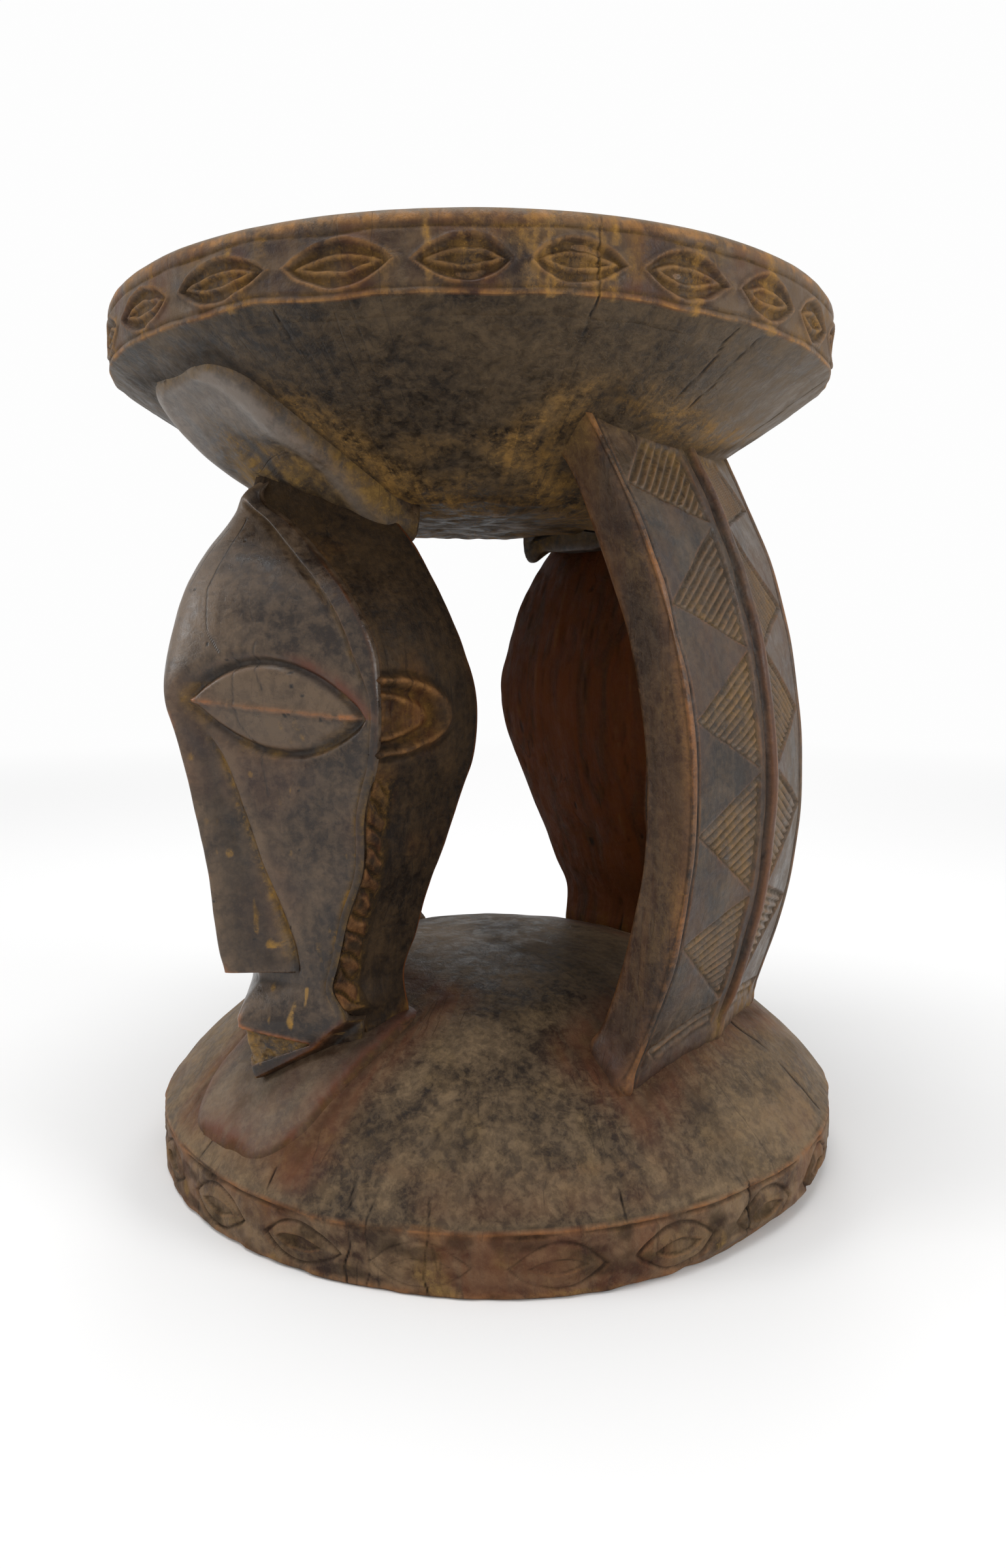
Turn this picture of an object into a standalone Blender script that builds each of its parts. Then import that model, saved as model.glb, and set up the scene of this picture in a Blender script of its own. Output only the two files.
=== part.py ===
"""A round stool carved from one log: a dished seat and a domed foot held apart by
two long mask-like heads, front and rear, and two bowed panels, left and right.

The carved members are modelled as separate solids, each standing a hairline
clear of the next. Metres, +Z up; the front face looks along -Y; the origin is
on the floor, in the middle of the stool's bounding box.
"""
import math

import bmesh
import bpy
from mathutils import Matrix, Vector

# Whole stool
overall_height = 0.420
hairline = 0.0003            # clearance between neighbouring members
overrun = 0.030              # how far a cutter runs past what it cuts
axis_offset = 0.0125         # the seat's axis stands this far from the foot's axis
axis_offset_bearing = math.radians(230)
turning_steps = 96

# Seat
seat_radius = 0.1795
seat_depth = 0.093           # top edge to the flat underneath
seat_band_height = 0.024
seat_foot_radius = 0.080
seat_edge_round = 0.005
seat_dish_depth = 0.008
seat_dish_floor_radius = 0.120
seat_rim_width = 0.014

# Foot
base_radius = 0.181
base_band_height = 0.028
base_edge_round = 0.002
dome_rise = 0.074
dome_fall_share = 3.0        # power of the dome's fall towards its band

# Almond carvings round the two bands: counts, and shares of pitch and band height
seat_almond_count = 24
base_almond_count = 22
almond_length_share = 0.72
almond_height_share = 0.84
lens_length_share = 0.80     # the raised lens inside an almond
lens_height_share = 0.46
almond_pocket_depth = 0.0015
almond_lens_rise = 0.0010

# Heads
head_reach = 0.1797          # the supports' axis to the brow
head_half_width = 0.068      # at the temples
rear_head_setback = 0.009    # the rear head's back stands this much farther out
head_twist = math.radians(8.0)   # turn of a head over the stool's whole height
forehead_bulge = 0.002
back_bulge = 0.0035
nose_half_width = 0.0235
nose_bridge_half_width = 0.0022
nose_root_depth = 0.016      # how deep the nose is rooted behind its sides
mouth_open_height = 0.019
mouth_upper_share = 0.21     # of the opening, above the corners of the mouth
tooth_recess = 0.003
eye_length = 0.076
eye_opening = 0.041
eye_rise = 0.0035
eye_tilt = math.radians(7)
eye_across_share = 0.52      # ridge to mask edge
ear_length = 0.042
ear_height = 0.034
ear_roll = 0.0034            # height of the rolled rim above the head
cheek_notch_count = 11
cheek_notch_slant = math.radians(-35)
cheek_braid_gap = 0.001      # mask edge to the braid
cheek_braid_width = 0.012
cheek_braid_rise = 0.0030

# Crest above each head and pad below it
crest_inner_reach = 0.064
crest_outer_reach = 0.161
crest_half_width = 0.041
crest_drop = 0.0105
pad_inner_reach = 0.072
pad_outer_reach = 0.169
pad_half_width = 0.046
pad_rise = 0.005
tongue_corner_radius = 0.020

# Bowed panels
panel_bearing = math.radians(16)   # turn from the +X axis towards +Y
panel_waist_reach = 0.1619
panel_top_reach = 0.1161
panel_foot_reach = 0.1279
panel_waist_half_width = 0.0685
panel_end_half_width = 0.0746
panel_crest_rise = 0.0095    # middle crest above the two long edges
panel_edge_thickness = 0.025
panel_inner_width_share = 0.883
panel_rib_width = 0.0075
panel_rib_rise = 0.0018
left_panel_inset = 0.010     # the left panel stands this much nearer the axis

# Heights on the supports as shares of the overall height
eye_height_share = 0.567
nose_foot_height_share = 0.276
nose_top_height_share = 0.567
mouth_corner_height_share = 0.198
cheek_braid_foot_height_share = 0.252
cheek_braid_top_height_share = 0.488
panel_waist_height_share = 0.512
panel_half_span_share = 0.357    # waist to the heights of the two end reaches

left_panel_width_share = 0.85    # of the right panel's width

# Places in a mouth as shares of the head's reach
mouth_corner_reach_share = 0.762
mouth_lip_reach_share = 0.874

eye_height = overall_height * eye_height_share
nose_foot_height = overall_height * nose_foot_height_share
nose_top_height = overall_height * nose_top_height_share
mouth_corner_height = overall_height * mouth_corner_height_share
mouth_corner_reach = head_reach * mouth_corner_reach_share
mouth_lip_reach = head_reach * mouth_lip_reach_share
cheek_braid_foot_height = overall_height * cheek_braid_foot_height_share
cheek_braid_top_height = overall_height * cheek_braid_top_height_share
panel_waist_height = overall_height * panel_waist_height_share
panel_half_span = overall_height * panel_half_span_share
seat_band_bottom = overall_height - seat_band_height
seat_foot_height = overall_height - seat_depth
seat_slope = (seat_band_bottom - seat_foot_height) / (seat_radius - seat_foot_radius)

# Head sections from the foot up. Each row holds the height as a share of the overall
# height, the reaches of ridge, mask edge and back corner as shares of the head's
# reach, and the half widths of mask edge and back corner as shares of its half width.
head_section_shares = (
    (0.095, 0.846, 0.696, 0.512, 0.500, 0.500),
    (0.143, 0.860, 0.701, 0.506, 0.500, 0.530),
    (0.194, 0.889, 0.710, 0.498, 0.560, 0.551),
    (0.214, 0.902, 0.710, 0.497, 0.574, 0.559),
    (0.262, 0.810, 0.723, 0.495, 0.515, 0.559),
    (0.286, 0.829, 0.712, 0.479, 0.544, 0.574),
    (0.324, 0.863, 0.701, 0.442, 0.618, 0.603),
    (0.369, 0.890, 0.679, 0.403, 0.691, 0.647),
    (0.405, 0.910, 0.662, 0.373, 0.765, 0.676),
    (0.455, 0.935, 0.657, 0.337, 0.809, 0.779),
    (0.495, 0.952, 0.640, 0.317, 0.912, 0.846),
    (0.531, 0.968, 0.634, 0.303, 0.956, 0.890),
    (0.571, 1.000, 0.640, 0.298, 1.000, 0.912),
    (0.605, 0.990, 0.629, 0.311, 1.000, 0.890),
    (0.631, 0.972, 0.629, 0.323, 0.956, 0.875),
    (0.660, 0.948, 0.640, 0.337, 0.853, 0.838),
    (0.698, 0.906, 0.651, 0.364, 0.721, 0.765),
    (0.729, 0.857, 0.668, 0.392, 0.529, 0.691),
    (0.755, 0.804, 0.696, 0.417, 0.309, 0.654),
    (0.786, 0.760, 0.729, 0.434, 0.074, 0.618),
    (0.833, 0.701, 0.679, 0.445, 0.059, 0.588),
    (0.893, 0.646, 0.623, 0.445, 0.059, 0.588),
)

# Nose sections from its foot up: height as a share of the nose's own height, reach
# as a share of the head's reach and half width as a share of the nose's.
nose_section_shares = (
    (0.00, 0.909, 1.00),
    (0.08, 0.918, 0.96),
    (0.23, 0.926, 0.86),
    (0.43, 0.934, 0.72),
    (0.62, 0.951, 0.60),
    (0.82, 0.974, 0.50),
    (1.00, 0.997, 0.24),
)


def clear_scene():
    for item in list(bpy.data.objects):
        bpy.data.objects.remove(item)


def new_collection(name):
    collection = bpy.data.collections.new(name)
    bpy.context.scene.collection.children.link(collection)
    return collection


clear_scene()
stool = new_collection("chiefs_stool")
cutters = new_collection("cutters")


def wood(name, colour, roughness):
    material = bpy.data.materials.new(name)
    material.use_nodes = True
    shader = material.node_tree.nodes["Principled BSDF"]
    shader.inputs["Base Color"].default_value = (*colour, 1.0)
    shader.inputs["Roughness"].default_value = roughness
    shader.inputs["Metallic"].default_value = 0.0
    return material


def add_member(name, mesh, colour, roughness):
    member = bpy.data.objects.new(name, mesh)
    member.data.materials.append(wood(name + "_wood", colour, roughness))
    stool.objects.link(member)
    return member


def add_cutter(name, mesh):
    cutter = bpy.data.objects.new(name, mesh)
    cutter.hide_render = True
    cutter.display_type = "WIRE"
    cutters.objects.link(cutter)
    return cutter


def add_boolean(item, operation, other):
    boolean = item.modifiers.new(operation.lower() + "_" + other.name, "BOOLEAN")
    boolean.operation = operation
    boolean.solver = "EXACT"
    boolean.object = other


def turn_about_axis(item, centre):
    """Turns an object's profile into a solid about the upright axis through centre."""
    item.location = (centre.x, centre.y, 0.0)
    screw = item.modifiers.new("turning", "SCREW")
    screw.steps = turning_steps
    screw.render_steps = turning_steps
    screw.use_merge_vertices = True
    screw.merge_threshold = 0.00001
    screw.use_smooth_shade = False


def profile_mesh(name, profile):
    """Points of (radius, height), from the axis over the outer side to the axis."""
    mesh = bpy.data.meshes.new(name)
    points = [(radius, 0.0, height) for radius, height in profile]
    edges = [(step, step + 1) for step in range(len(points) - 1)]
    mesh.from_pydata(points, edges, [])
    return mesh


def mesh_from(bm, name):
    mesh = bpy.data.meshes.new(name)
    bmesh.ops.recalc_face_normals(bm, faces=bm.faces[:])
    bm.to_mesh(mesh)
    bm.free()
    return mesh


def add_loft(bm, rings):
    """Adds a closed solid through rings of points, all with the same count."""
    layers = [[bm.verts.new(point) for point in ring] for ring in rings]
    count = len(layers[0])
    for lower, upper in zip(layers, layers[1:]):
        for step in range(count):
            after = (step + 1) % count
            bm.faces.new((lower[step], lower[after], upper[after]))
            bm.faces.new((lower[step], upper[after], upper[step]))
    bm.faces.new(layers[0])
    bm.faces.new(layers[-1])


def loft(rings, name):
    bm = bmesh.new()
    add_loft(bm, rings)
    return mesh_from(bm, name)


def disc_centres():
    """Centres of foot and seat, with the stool's bounding box about the origin."""
    foot = Vector((0.0, 0.0))
    seat = axis_offset * Vector((math.cos(axis_offset_bearing), math.sin(axis_offset_bearing)))
    low = [min(foot[k] - base_radius, seat[k] - seat_radius) for k in (0, 1)]
    high = [max(foot[k] + base_radius, seat[k] + seat_radius) for k in (0, 1)]
    middle = Vector(((low[0] + high[0]) / 2, (low[1] + high[1]) / 2))
    return foot - middle, seat - middle


base_centre, seat_centre = disc_centres()


def stand(mesh, turn):
    """Turns a support's mesh about the upright axis, then leans it so that its axis
    runs from the foot's centre to the seat's."""
    lean = Matrix.Identity(4)
    for row in (0, 1):
        lean[row][2] = (seat_centre[row] - base_centre[row]) / overall_height
        lean[row][3] = base_centre[row]
    mesh.transform(lean @ Matrix.Rotation(turn, 4, "Z"))
    return mesh


# Discs

def dome_height(radius):
    fall = min(radius / base_radius, 1.0) ** dome_fall_share
    return base_band_height + dome_rise * (1.0 - fall)


def dome_profile(rise):
    """The dome's line from the axis to the band, lifted by rise."""
    steps = 12
    radii = [base_radius * (step / steps) ** 0.75 for step in range(steps + 1)]
    return [(radius, dome_height(radius) + rise) for radius in radii]


def seat_underside(drop, wide):
    """The seat's underside from a wide radius in to the axis, lowered by drop."""
    rim = seat_foot_height + seat_slope * (wide - seat_foot_radius)
    return [(wide, rim - drop), (seat_foot_radius, seat_foot_height - drop), (0.0, seat_foot_height - drop)]


def make_seat():
    floor = overall_height - seat_dish_depth
    rim_inner = seat_radius - seat_rim_width
    profile = [(0.0, floor), (seat_dish_floor_radius, floor)]
    dish_steps = 4
    for step in range(1, dish_steps + 1):
        way = step / dish_steps
        radius = seat_dish_floor_radius + way * (rim_inner - seat_dish_floor_radius)
        profile.append((radius, floor + seat_dish_depth * way * way))
    round_steps = 4
    for step in range(round_steps + 1):
        angle = math.pi / 2 * step / round_steps
        radius = seat_radius - seat_edge_round * (1.0 - math.sin(angle))
        profile.append((radius, overall_height - seat_edge_round * (1.0 - math.cos(angle))))
    profile += seat_underside(0.0, seat_radius)
    seat = add_member("seat", profile_mesh("seat", profile), (0.055, 0.040, 0.030), 0.45)
    turn_about_axis(seat, seat_centre)
    band_top = overall_height - seat_edge_round
    carve_band(seat, seat_centre, seat_radius, seat_band_bottom, band_top, seat_almond_count)


def make_base():
    profile = dome_profile(0.0)
    profile.append((base_radius, base_edge_round))
    profile.append((base_radius - base_edge_round, 0.0))
    profile.append((0.0, 0.0))
    base = add_member("base", profile_mesh("base", profile), (0.075, 0.058, 0.045), 0.50)
    turn_about_axis(base, base_centre)
    carve_band(base, base_centre, base_radius, base_edge_round, base_band_height, base_almond_count)


def almond_outline(length, height):
    """Two equal arcs that meet in points at the ends of length."""
    half = length / 2
    rise = height / 2
    radius = (half * half + rise * rise) / (2 * rise)
    sweep = math.asin(half / radius)
    steps = 6
    points = []
    for side in (1, -1):
        for step in range(steps):
            angle = side * sweep * (2 * step / steps - 1)
            points.append((radius * math.sin(angle), side * (radius * (math.cos(angle) - 1) + rise)))
    return points


def almond_rings(length, height, levels, place):
    """Rings for an almond solid; a level is a distance out and a share of its height."""
    outline = almond_outline(length, height)
    return [[place @ Vector((x, y * share, out)) for x, y in outline] for out, share in levels]


def carve_band(disc, centre, radius, low, high, count):
    """Cuts a ring of almond pockets into a disc's band and leaves a lens in each."""
    pockets = bmesh.new()
    lenses = bmesh.new()
    floor_radius = radius * math.cos(math.pi / turning_steps) - almond_pocket_depth
    length = almond_length_share * 2 * math.pi * radius / count
    height = almond_height_share * (high - low)
    pocket_levels = ((0.0, 1.0), (almond_pocket_depth + overrun, 1.0))
    lens_levels = ((-almond_lens_rise, 1.0), (almond_lens_rise / 2, 1.0), (almond_lens_rise, 0.12))
    for index in range(count):
        bearing = axis_offset_bearing + 2 * math.pi * index / count
        outward = Vector((math.cos(bearing), math.sin(bearing), 0.0))
        around = Vector((-math.sin(bearing), math.cos(bearing), 0.0))
        place = Matrix((around, Vector((0.0, 0.0, 1.0)), outward)).transposed().to_4x4()
        place.translation = Vector((centre.x, centre.y, (low + high) / 2)) + floor_radius * outward
        add_loft(pockets, almond_rings(length, height, pocket_levels, place))
        add_loft(lenses, almond_rings(
            lens_length_share * length, lens_height_share * height, lens_levels, place
        ))
    add_boolean(disc, "DIFFERENCE", add_cutter(disc.name + "_pockets", mesh_from(pockets, "pockets")))
    add_boolean(disc, "UNION", add_cutter(disc.name + "_lenses", mesh_from(lenses, "lenses")))


def make_trims():
    """Turned solids that trim the supports, crests and pads to the two discs."""
    wide = seat_radius + overrun
    high = overall_height + overrun

    def above_seat(name, drop):
        profile = [(0.0, high), (wide, high)] + seat_underside(drop, wide)
        cutter = add_cutter(name, profile_mesh(name, profile))
        turn_about_axis(cutter, seat_centre)
        return cutter

    def below_dome(name, rise):
        brink = base_radius + overrun
        profile = dome_profile(rise) + [(brink, base_band_height + rise), (brink, -overrun), (0.0, -overrun)]
        cutter = add_cutter(name, profile_mesh(name, profile))
        turn_about_axis(cutter, base_centre)
        return cutter

    return {
        "off_seat": ("DIFFERENCE", above_seat("above_seat", hairline)),
        "off_crest": ("DIFFERENCE", above_seat("above_crest", crest_drop + hairline)),
        "in_crest": ("INTERSECT", above_seat("crest_layer", crest_drop)),
        "off_dome": ("DIFFERENCE", below_dome("below_dome", hairline)),
        "off_pad": ("DIFFERENCE", below_dome("below_pad", pad_rise + hairline)),
        "in_pad": ("INTERSECT", below_dome("pad_layer", pad_rise)),
    }


# Heads

def twisted(reach, across, height):
    """A head's reach, width and height as a point of a support that faces -Y."""
    turn = head_twist * (eye_height - height) / overall_height
    return Matrix.Rotation(turn, 3, "Z") @ Vector((across, -reach, 0.0)) + Vector((0.0, 0.0, height))


def head_corners(height, setback):
    """Ridge, mask edge and back corner of a head at a height, as (reach, half width)."""
    height_share = height / overall_height
    for lower, upper in zip(head_section_shares, head_section_shares[1:]):
        if height_share <= upper[0]:
            break
    way = (height_share - lower[0]) / (upper[0] - lower[0])
    ridge, edge, back, edge_width, back_width = [
        low + way * (high - low) for low, high in zip(lower[1:], upper[1:])
    ]
    return (
        (ridge * head_reach, 0.0),
        (edge * head_reach, edge_width * head_half_width),
        (back * head_reach + setback, back_width * head_half_width),
    )


def head_ring(height, setback, grow):
    """One section of a head: ridge, face, mask edge, back corner and middle of the back."""
    ridge, edge, back = head_corners(height, setback)
    face_reach = (ridge[0] + edge[0]) / 2 + forehead_bulge
    half = (
        (face_reach + 0.7 * grow, edge[1] / 2 + 0.7 * grow),
        (edge[0] + 0.5 * grow, edge[1] + grow),
        (back[0] - grow, back[1] + grow),
    )
    right = [(ridge[0] + 1.5 * grow, 0.0), *half, (back[0] - back_bulge - grow, 0.0)]
    left = [(reach, -across) for reach, across in reversed(half)]
    return [twisted(reach, across, height) for reach, across in right + left]


def head_mesh(name, setback, grow=0.0):
    heights = [row[0] * overall_height for row in head_section_shares]
    return loft([head_ring(height, setback, grow) for height in heights], name)


def mouth_mesh(name, grow):
    """A wedge across the head that opens forward from the corners of the mouth."""
    front = head_reach + overrun
    opening = mouth_open_height * (front - mouth_corner_reach) / (mouth_lip_reach - mouth_corner_reach)
    profile = (
        (mouth_corner_reach - 3 * grow, mouth_corner_height),
        (front, mouth_corner_height + mouth_upper_share * opening + grow),
        (front, mouth_corner_height - (1.0 - mouth_upper_share) * opening - grow),
    )
    rings = []
    for across in (-head_half_width, head_half_width):
        level = [twisted(reach, across, mouth_corner_height) for reach, height in profile]
        rings.append([Vector((point.x, point.y, height)) for point, (reach, height) in zip(level, profile)])
    return loft(rings, name)


def nose_mesh(name):
    rings = []
    for height_share, reach_share, width_share in nose_section_shares:
        height = nose_foot_height + height_share * (nose_top_height - nose_foot_height)
        reach = head_reach * reach_share
        width = nose_half_width * width_share
        side_reach = reach - (width - nose_bridge_half_width)
        half = ((reach, nose_bridge_half_width), (side_reach, width), (side_reach - nose_root_depth, width))
        outline = list(half) + [(near, -across) for near, across in reversed(half)]
        rings.append([twisted(near, across, height) for near, across in outline])
    return loft(rings, name)


def face_frame(height, across_share, side, plane, setback):
    """Placement on a head: X runs back along the face or the side, Y is up and Z points
    out. plane is 0 for the mask's face and 1 for the side behind it."""

    def spot(at_height, share):
        near, far = head_corners(at_height, setback)[plane:plane + 2]
        reach = near[0] + share * (far[0] - near[0])
        across = near[1] + share * (far[1] - near[1])
        return twisted(reach, side * across, at_height)

    step = overall_height / 40
    along = (spot(height, 1.0) - spot(height, 0.0)).normalized()
    rise = spot(height + step, across_share) - spot(height - step, across_share)
    up = (rise - rise.dot(along) * along).normalized()
    place = Matrix((along, up, side * along.cross(up))).transposed().to_4x4()
    place.translation = spot(height, across_share)
    return place


def eye_mesh(name, side, setback):
    """An almond that rises to a ridge from corner to corner."""
    frame = face_frame(eye_height, eye_across_share, side, 0, setback)
    place = frame @ Matrix.Rotation(-eye_tilt, 4, "Z") @ Matrix.Translation((0.0, 0.0, forehead_bulge))
    levels = ((-eye_rise, 1.0), (eye_rise / 2, 1.0), (eye_rise, 0.06))
    return loft(almond_rings(eye_length, eye_opening, levels, place), name)


def ear_mesh(name, side, setback):
    """A half-round plate with a rolled rim and a raised middle, open to the mask's edge."""
    place = face_frame(eye_height, 0.05, side, 1, setback)
    steps = 10
    angles = [math.pi * (step / steps - 0.5) for step in range(steps + 1)]
    # Shares of the roll's height and of the ear's own outline, from the root out
    level_shares = ((-3.0, 1.0), (0.6, 1.0), (1.0, 0.88), (0.35, 0.72), (0.3, 0.48), (0.8, 0.34))
    rings = []
    for rise_share, outline_share in level_shares:
        length = outline_share * ear_length
        lead = (ear_length - length) / 4
        half_height = outline_share * ear_height / 2
        out = rise_share * ear_roll
        ring = [(lead + length * math.cos(angle), half_height * math.sin(angle), out) for angle in angles]
        rings.append([place @ Vector(point) for point in ring])
    return loft(rings, name)


def cheek_braid_mesh(name, side, setback):
    """A strip behind the lower edge of the mask, notched aslant all the way down."""
    steps_each = 4
    steps = cheek_notch_count * steps_each
    near = cheek_braid_gap
    far = cheek_braid_gap + cheek_braid_width
    root = -4 * cheek_braid_rise
    rings = []
    for step in range(steps + 1):
        way = step / steps
        height = cheek_braid_foot_height + way * (cheek_braid_top_height - cheek_braid_foot_height)
        rise = cheek_braid_rise * (0.35 if step % steps_each == 0 else 1.0)
        place = face_frame(height, 0.0, side, 1, setback)
        outline = ((near, root), (near, rise), (far, 0.8 * rise), (far, root))
        slant = math.tan(cheek_notch_slant)
        rings.append([place @ Vector((along, along * slant, out)) for along, out in outline])
    return loft(rings, name)


def tongue_mesh(name, inner, outer, half_width, half_height, middle):
    """An upright block over or under a head, with rounded outer corners."""
    bm = bmesh.new()
    bmesh.ops.create_cube(bm, size=2.0)
    half_length = (outer - inner) / 2
    size = Matrix.Diagonal((half_width, half_length, half_height, 1.0))
    place = Matrix.Translation((0.0, -inner - half_length, middle))
    bmesh.ops.transform(bm, matrix=place @ size, verts=bm.verts[:])
    corners = []
    for edge in bm.edges:
        first, second = edge.verts
        upright = abs(first.co.z - second.co.z) > half_height
        if upright and first.co.y < -inner - half_length:
            corners.append(edge)
    bmesh.ops.bevel(bm, geom=corners, offset=tongue_corner_radius, segments=5, profile=0.5, affect="EDGES")
    turn = head_twist * (eye_height - middle) / overall_height
    bmesh.ops.transform(bm, matrix=Matrix.Rotation(turn, 4, "Z"), verts=bm.verts[:])
    return mesh_from(bm, name)


def crest_mesh(name):
    middle = (seat_foot_height + seat_band_bottom) / 2
    return tongue_mesh(name, crest_inner_reach, crest_outer_reach, crest_half_width, seat_depth, middle)


def pad_mesh(name, setback):
    middle = base_band_height + dome_rise / 2
    inner = pad_inner_reach + setback
    return tongue_mesh(name, inner, pad_outer_reach, pad_half_width, dome_rise, middle)


def make_head(word, turn, setback, trims):
    """One head with its features, the crest above it and the pad below it."""

    def cutter(name, mesh):
        return add_cutter(word + name, stand(mesh, turn))

    def member(name, mesh, colour, roughness, *cuts):
        item = add_member(word + name, stand(mesh, turn), colour, roughness)
        for operation, other in cuts:
            add_boolean(item, operation, other)

    off_head = ("DIFFERENCE", cutter("_head_grown", head_mesh("grown", setback, grow=hairline)))
    off_mouth = ("DIFFERENCE", cutter("_mouth_opening", mouth_mesh("opening", hairline)))
    in_mouth = ("INTERSECT", cutter("_mouth_filling", mouth_mesh("filling", 0.0)))
    teeth = head_mesh("teeth", setback, grow=-tooth_recess)

    member(
        "_head", head_mesh("head", setback), (0.060, 0.042, 0.034), 0.38,
        trims["off_crest"], trims["off_pad"], off_mouth,
    )
    member("_teeth", teeth, (0.090, 0.062, 0.040), 0.55, trims["off_pad"], in_mouth)
    member("_nose", nose_mesh("nose"), (0.075, 0.045, 0.033), 0.36, off_head)
    for side_word, side in (("_left", 1), ("_right", -1)):
        eye = eye_mesh("eye", side, setback)
        ear = ear_mesh("ear", side, setback)
        braid = cheek_braid_mesh("braid", side, setback)
        member(side_word + "_eye", eye, (0.085, 0.060, 0.050), 0.34, off_head)
        member(side_word + "_ear", ear, (0.140, 0.062, 0.030), 0.42, off_head)
        member(
            side_word + "_cheek_braid", braid, (0.120, 0.052, 0.032), 0.42, off_head, trims["off_pad"]
        )
    member(
        "_crest", crest_mesh("crest"), (0.060, 0.050, 0.042), 0.45, trims["off_seat"], trims["in_crest"]
    )
    member("_pad", pad_mesh("pad", setback), (0.085, 0.060, 0.045), 0.48, trims["off_dome"], trims["in_pad"])


# Panels

def panel_crest(height):
    """Reach of a panel's middle crest at a height, on a curve through foot, waist and top."""
    way = (height - panel_waist_height) / panel_half_span
    lean = (panel_top_reach - panel_foot_reach) / 2
    bow = panel_waist_reach - (panel_top_reach + panel_foot_reach) / 2
    return panel_waist_reach + lean * way - bow * way * way


def panel_half_width(height):
    way = (height - panel_waist_height) / panel_half_span
    return panel_waist_half_width + (panel_end_half_width - panel_waist_half_width) * way * way


def panel_loft(name, section):
    """Lofts section(height), a list of (reach, width), over the panel's height."""
    rows = 20
    low = base_band_height
    high = seat_band_bottom
    turn = Matrix.Rotation(panel_bearing, 3, "Z")
    rings = []
    for row in range(rows + 1):
        height = low + (high - low) * row / rows
        rings.append([turn @ Vector((reach, across, height)) for reach, across in section(height)])
    return loft(rings, name)


def panel_mesh(name, inset, width_share, grow=0.0):
    def section(height):
        half = width_share * panel_half_width(height) + grow
        inner_half = half * panel_inner_width_share
        crest = panel_crest(height) - inset + grow
        edge = crest - panel_crest_rise
        inner = edge - panel_edge_thickness
        return (crest, 0.0), (edge, half), (inner, inner_half), (inner, -inner_half), (edge, -half)

    return panel_loft(name, section)


def panel_rib_mesh(name, inset):
    def section(height):
        half = panel_rib_width / 2
        root = panel_crest(height) - inset - panel_crest_rise / 2
        top = panel_crest(height) - inset + panel_rib_rise
        return (root, half), (top, half / 2), (top, -half / 2), (root, -half)

    return panel_loft(name, section)


def make_panel(word, turn, inset, width_share, trims):
    """A bowed panel and the raised rib down its middle crest."""
    body = panel_mesh("panel", inset, width_share)
    grown = panel_mesh("grown", inset, width_share, grow=hairline)
    crest_rib = panel_rib_mesh("rib", inset)
    panel = add_member(word + "_panel", stand(body, turn), (0.080, 0.058, 0.044), 0.42)
    rib = add_member(word + "_panel_rib", stand(crest_rib, turn), (0.150, 0.080, 0.040), 0.40)
    add_boolean(rib, "DIFFERENCE", add_cutter(word + "_panel_grown", stand(grown, turn)))
    for item in (panel, rib):
        add_boolean(item, *trims["off_seat"])
        add_boolean(item, *trims["off_dome"])


make_seat()
make_base()
disc_trims = make_trims()
make_head("front", 0.0, 0.0, disc_trims)
make_head("rear", math.pi, rear_head_setback, disc_trims)
make_panel("right", 0.0, 0.0, 1.0, disc_trims)
make_panel("left", math.pi, left_panel_inset, left_panel_width_share, disc_trims)
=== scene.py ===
# Chief's stool, carved from one log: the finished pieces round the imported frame
import itertools
import math
import bpy
import numpy as np
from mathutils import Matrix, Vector


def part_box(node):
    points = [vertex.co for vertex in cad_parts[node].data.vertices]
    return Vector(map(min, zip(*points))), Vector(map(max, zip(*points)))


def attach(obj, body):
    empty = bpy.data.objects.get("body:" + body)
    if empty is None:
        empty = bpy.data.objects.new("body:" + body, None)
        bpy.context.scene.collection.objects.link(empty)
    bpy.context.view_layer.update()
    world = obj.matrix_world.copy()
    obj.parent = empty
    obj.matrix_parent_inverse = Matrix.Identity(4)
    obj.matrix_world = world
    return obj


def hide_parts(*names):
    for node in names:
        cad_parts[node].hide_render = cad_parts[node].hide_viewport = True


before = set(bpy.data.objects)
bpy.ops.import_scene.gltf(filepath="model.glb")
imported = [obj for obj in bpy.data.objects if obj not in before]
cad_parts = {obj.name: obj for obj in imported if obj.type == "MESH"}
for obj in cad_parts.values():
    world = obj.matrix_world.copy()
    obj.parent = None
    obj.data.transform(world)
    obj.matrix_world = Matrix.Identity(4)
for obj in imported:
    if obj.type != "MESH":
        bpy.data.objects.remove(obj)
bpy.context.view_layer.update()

mm = 0.001  # lengths are in millimetres until a mesh is made
scene = bpy.context.scene


def ease(x, low, high):  # 0 below low, 1 above high, smooth between
    t = np.clip((x - low) / (high - low), 0.0, 1.0)
    return t * t * (3.0 - 2.0 * t)


def fade(x, low, high):  # 1 below low, 0 above high, smooth between
    return 1 - ease(x, low, high)


def near(x, width):  # 1 on the line x = 0, falling off over width
    return np.exp(-(x / width) ** 2)


def through(rows, x, column=1):  # smooth curve through a table's rows
    table = np.array(rows, float)
    knots, values = table[:, 0], table[:, column]
    slopes = np.gradient(values, knots)
    k = np.clip(np.searchsorted(knots, x) - 1, 0, len(knots) - 2)
    span = knots[k + 1] - knots[k]
    t = np.clip((x - knots[k]) / span, 0.0, 1.0)
    start, end = values[k], values[k + 1]
    rise = (slopes[k] * (1 - t) - slopes[k + 1] * t) * span * t * (1 - t)
    return start + (end - start) * t * t * (3 - 2 * t) + rise


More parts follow.
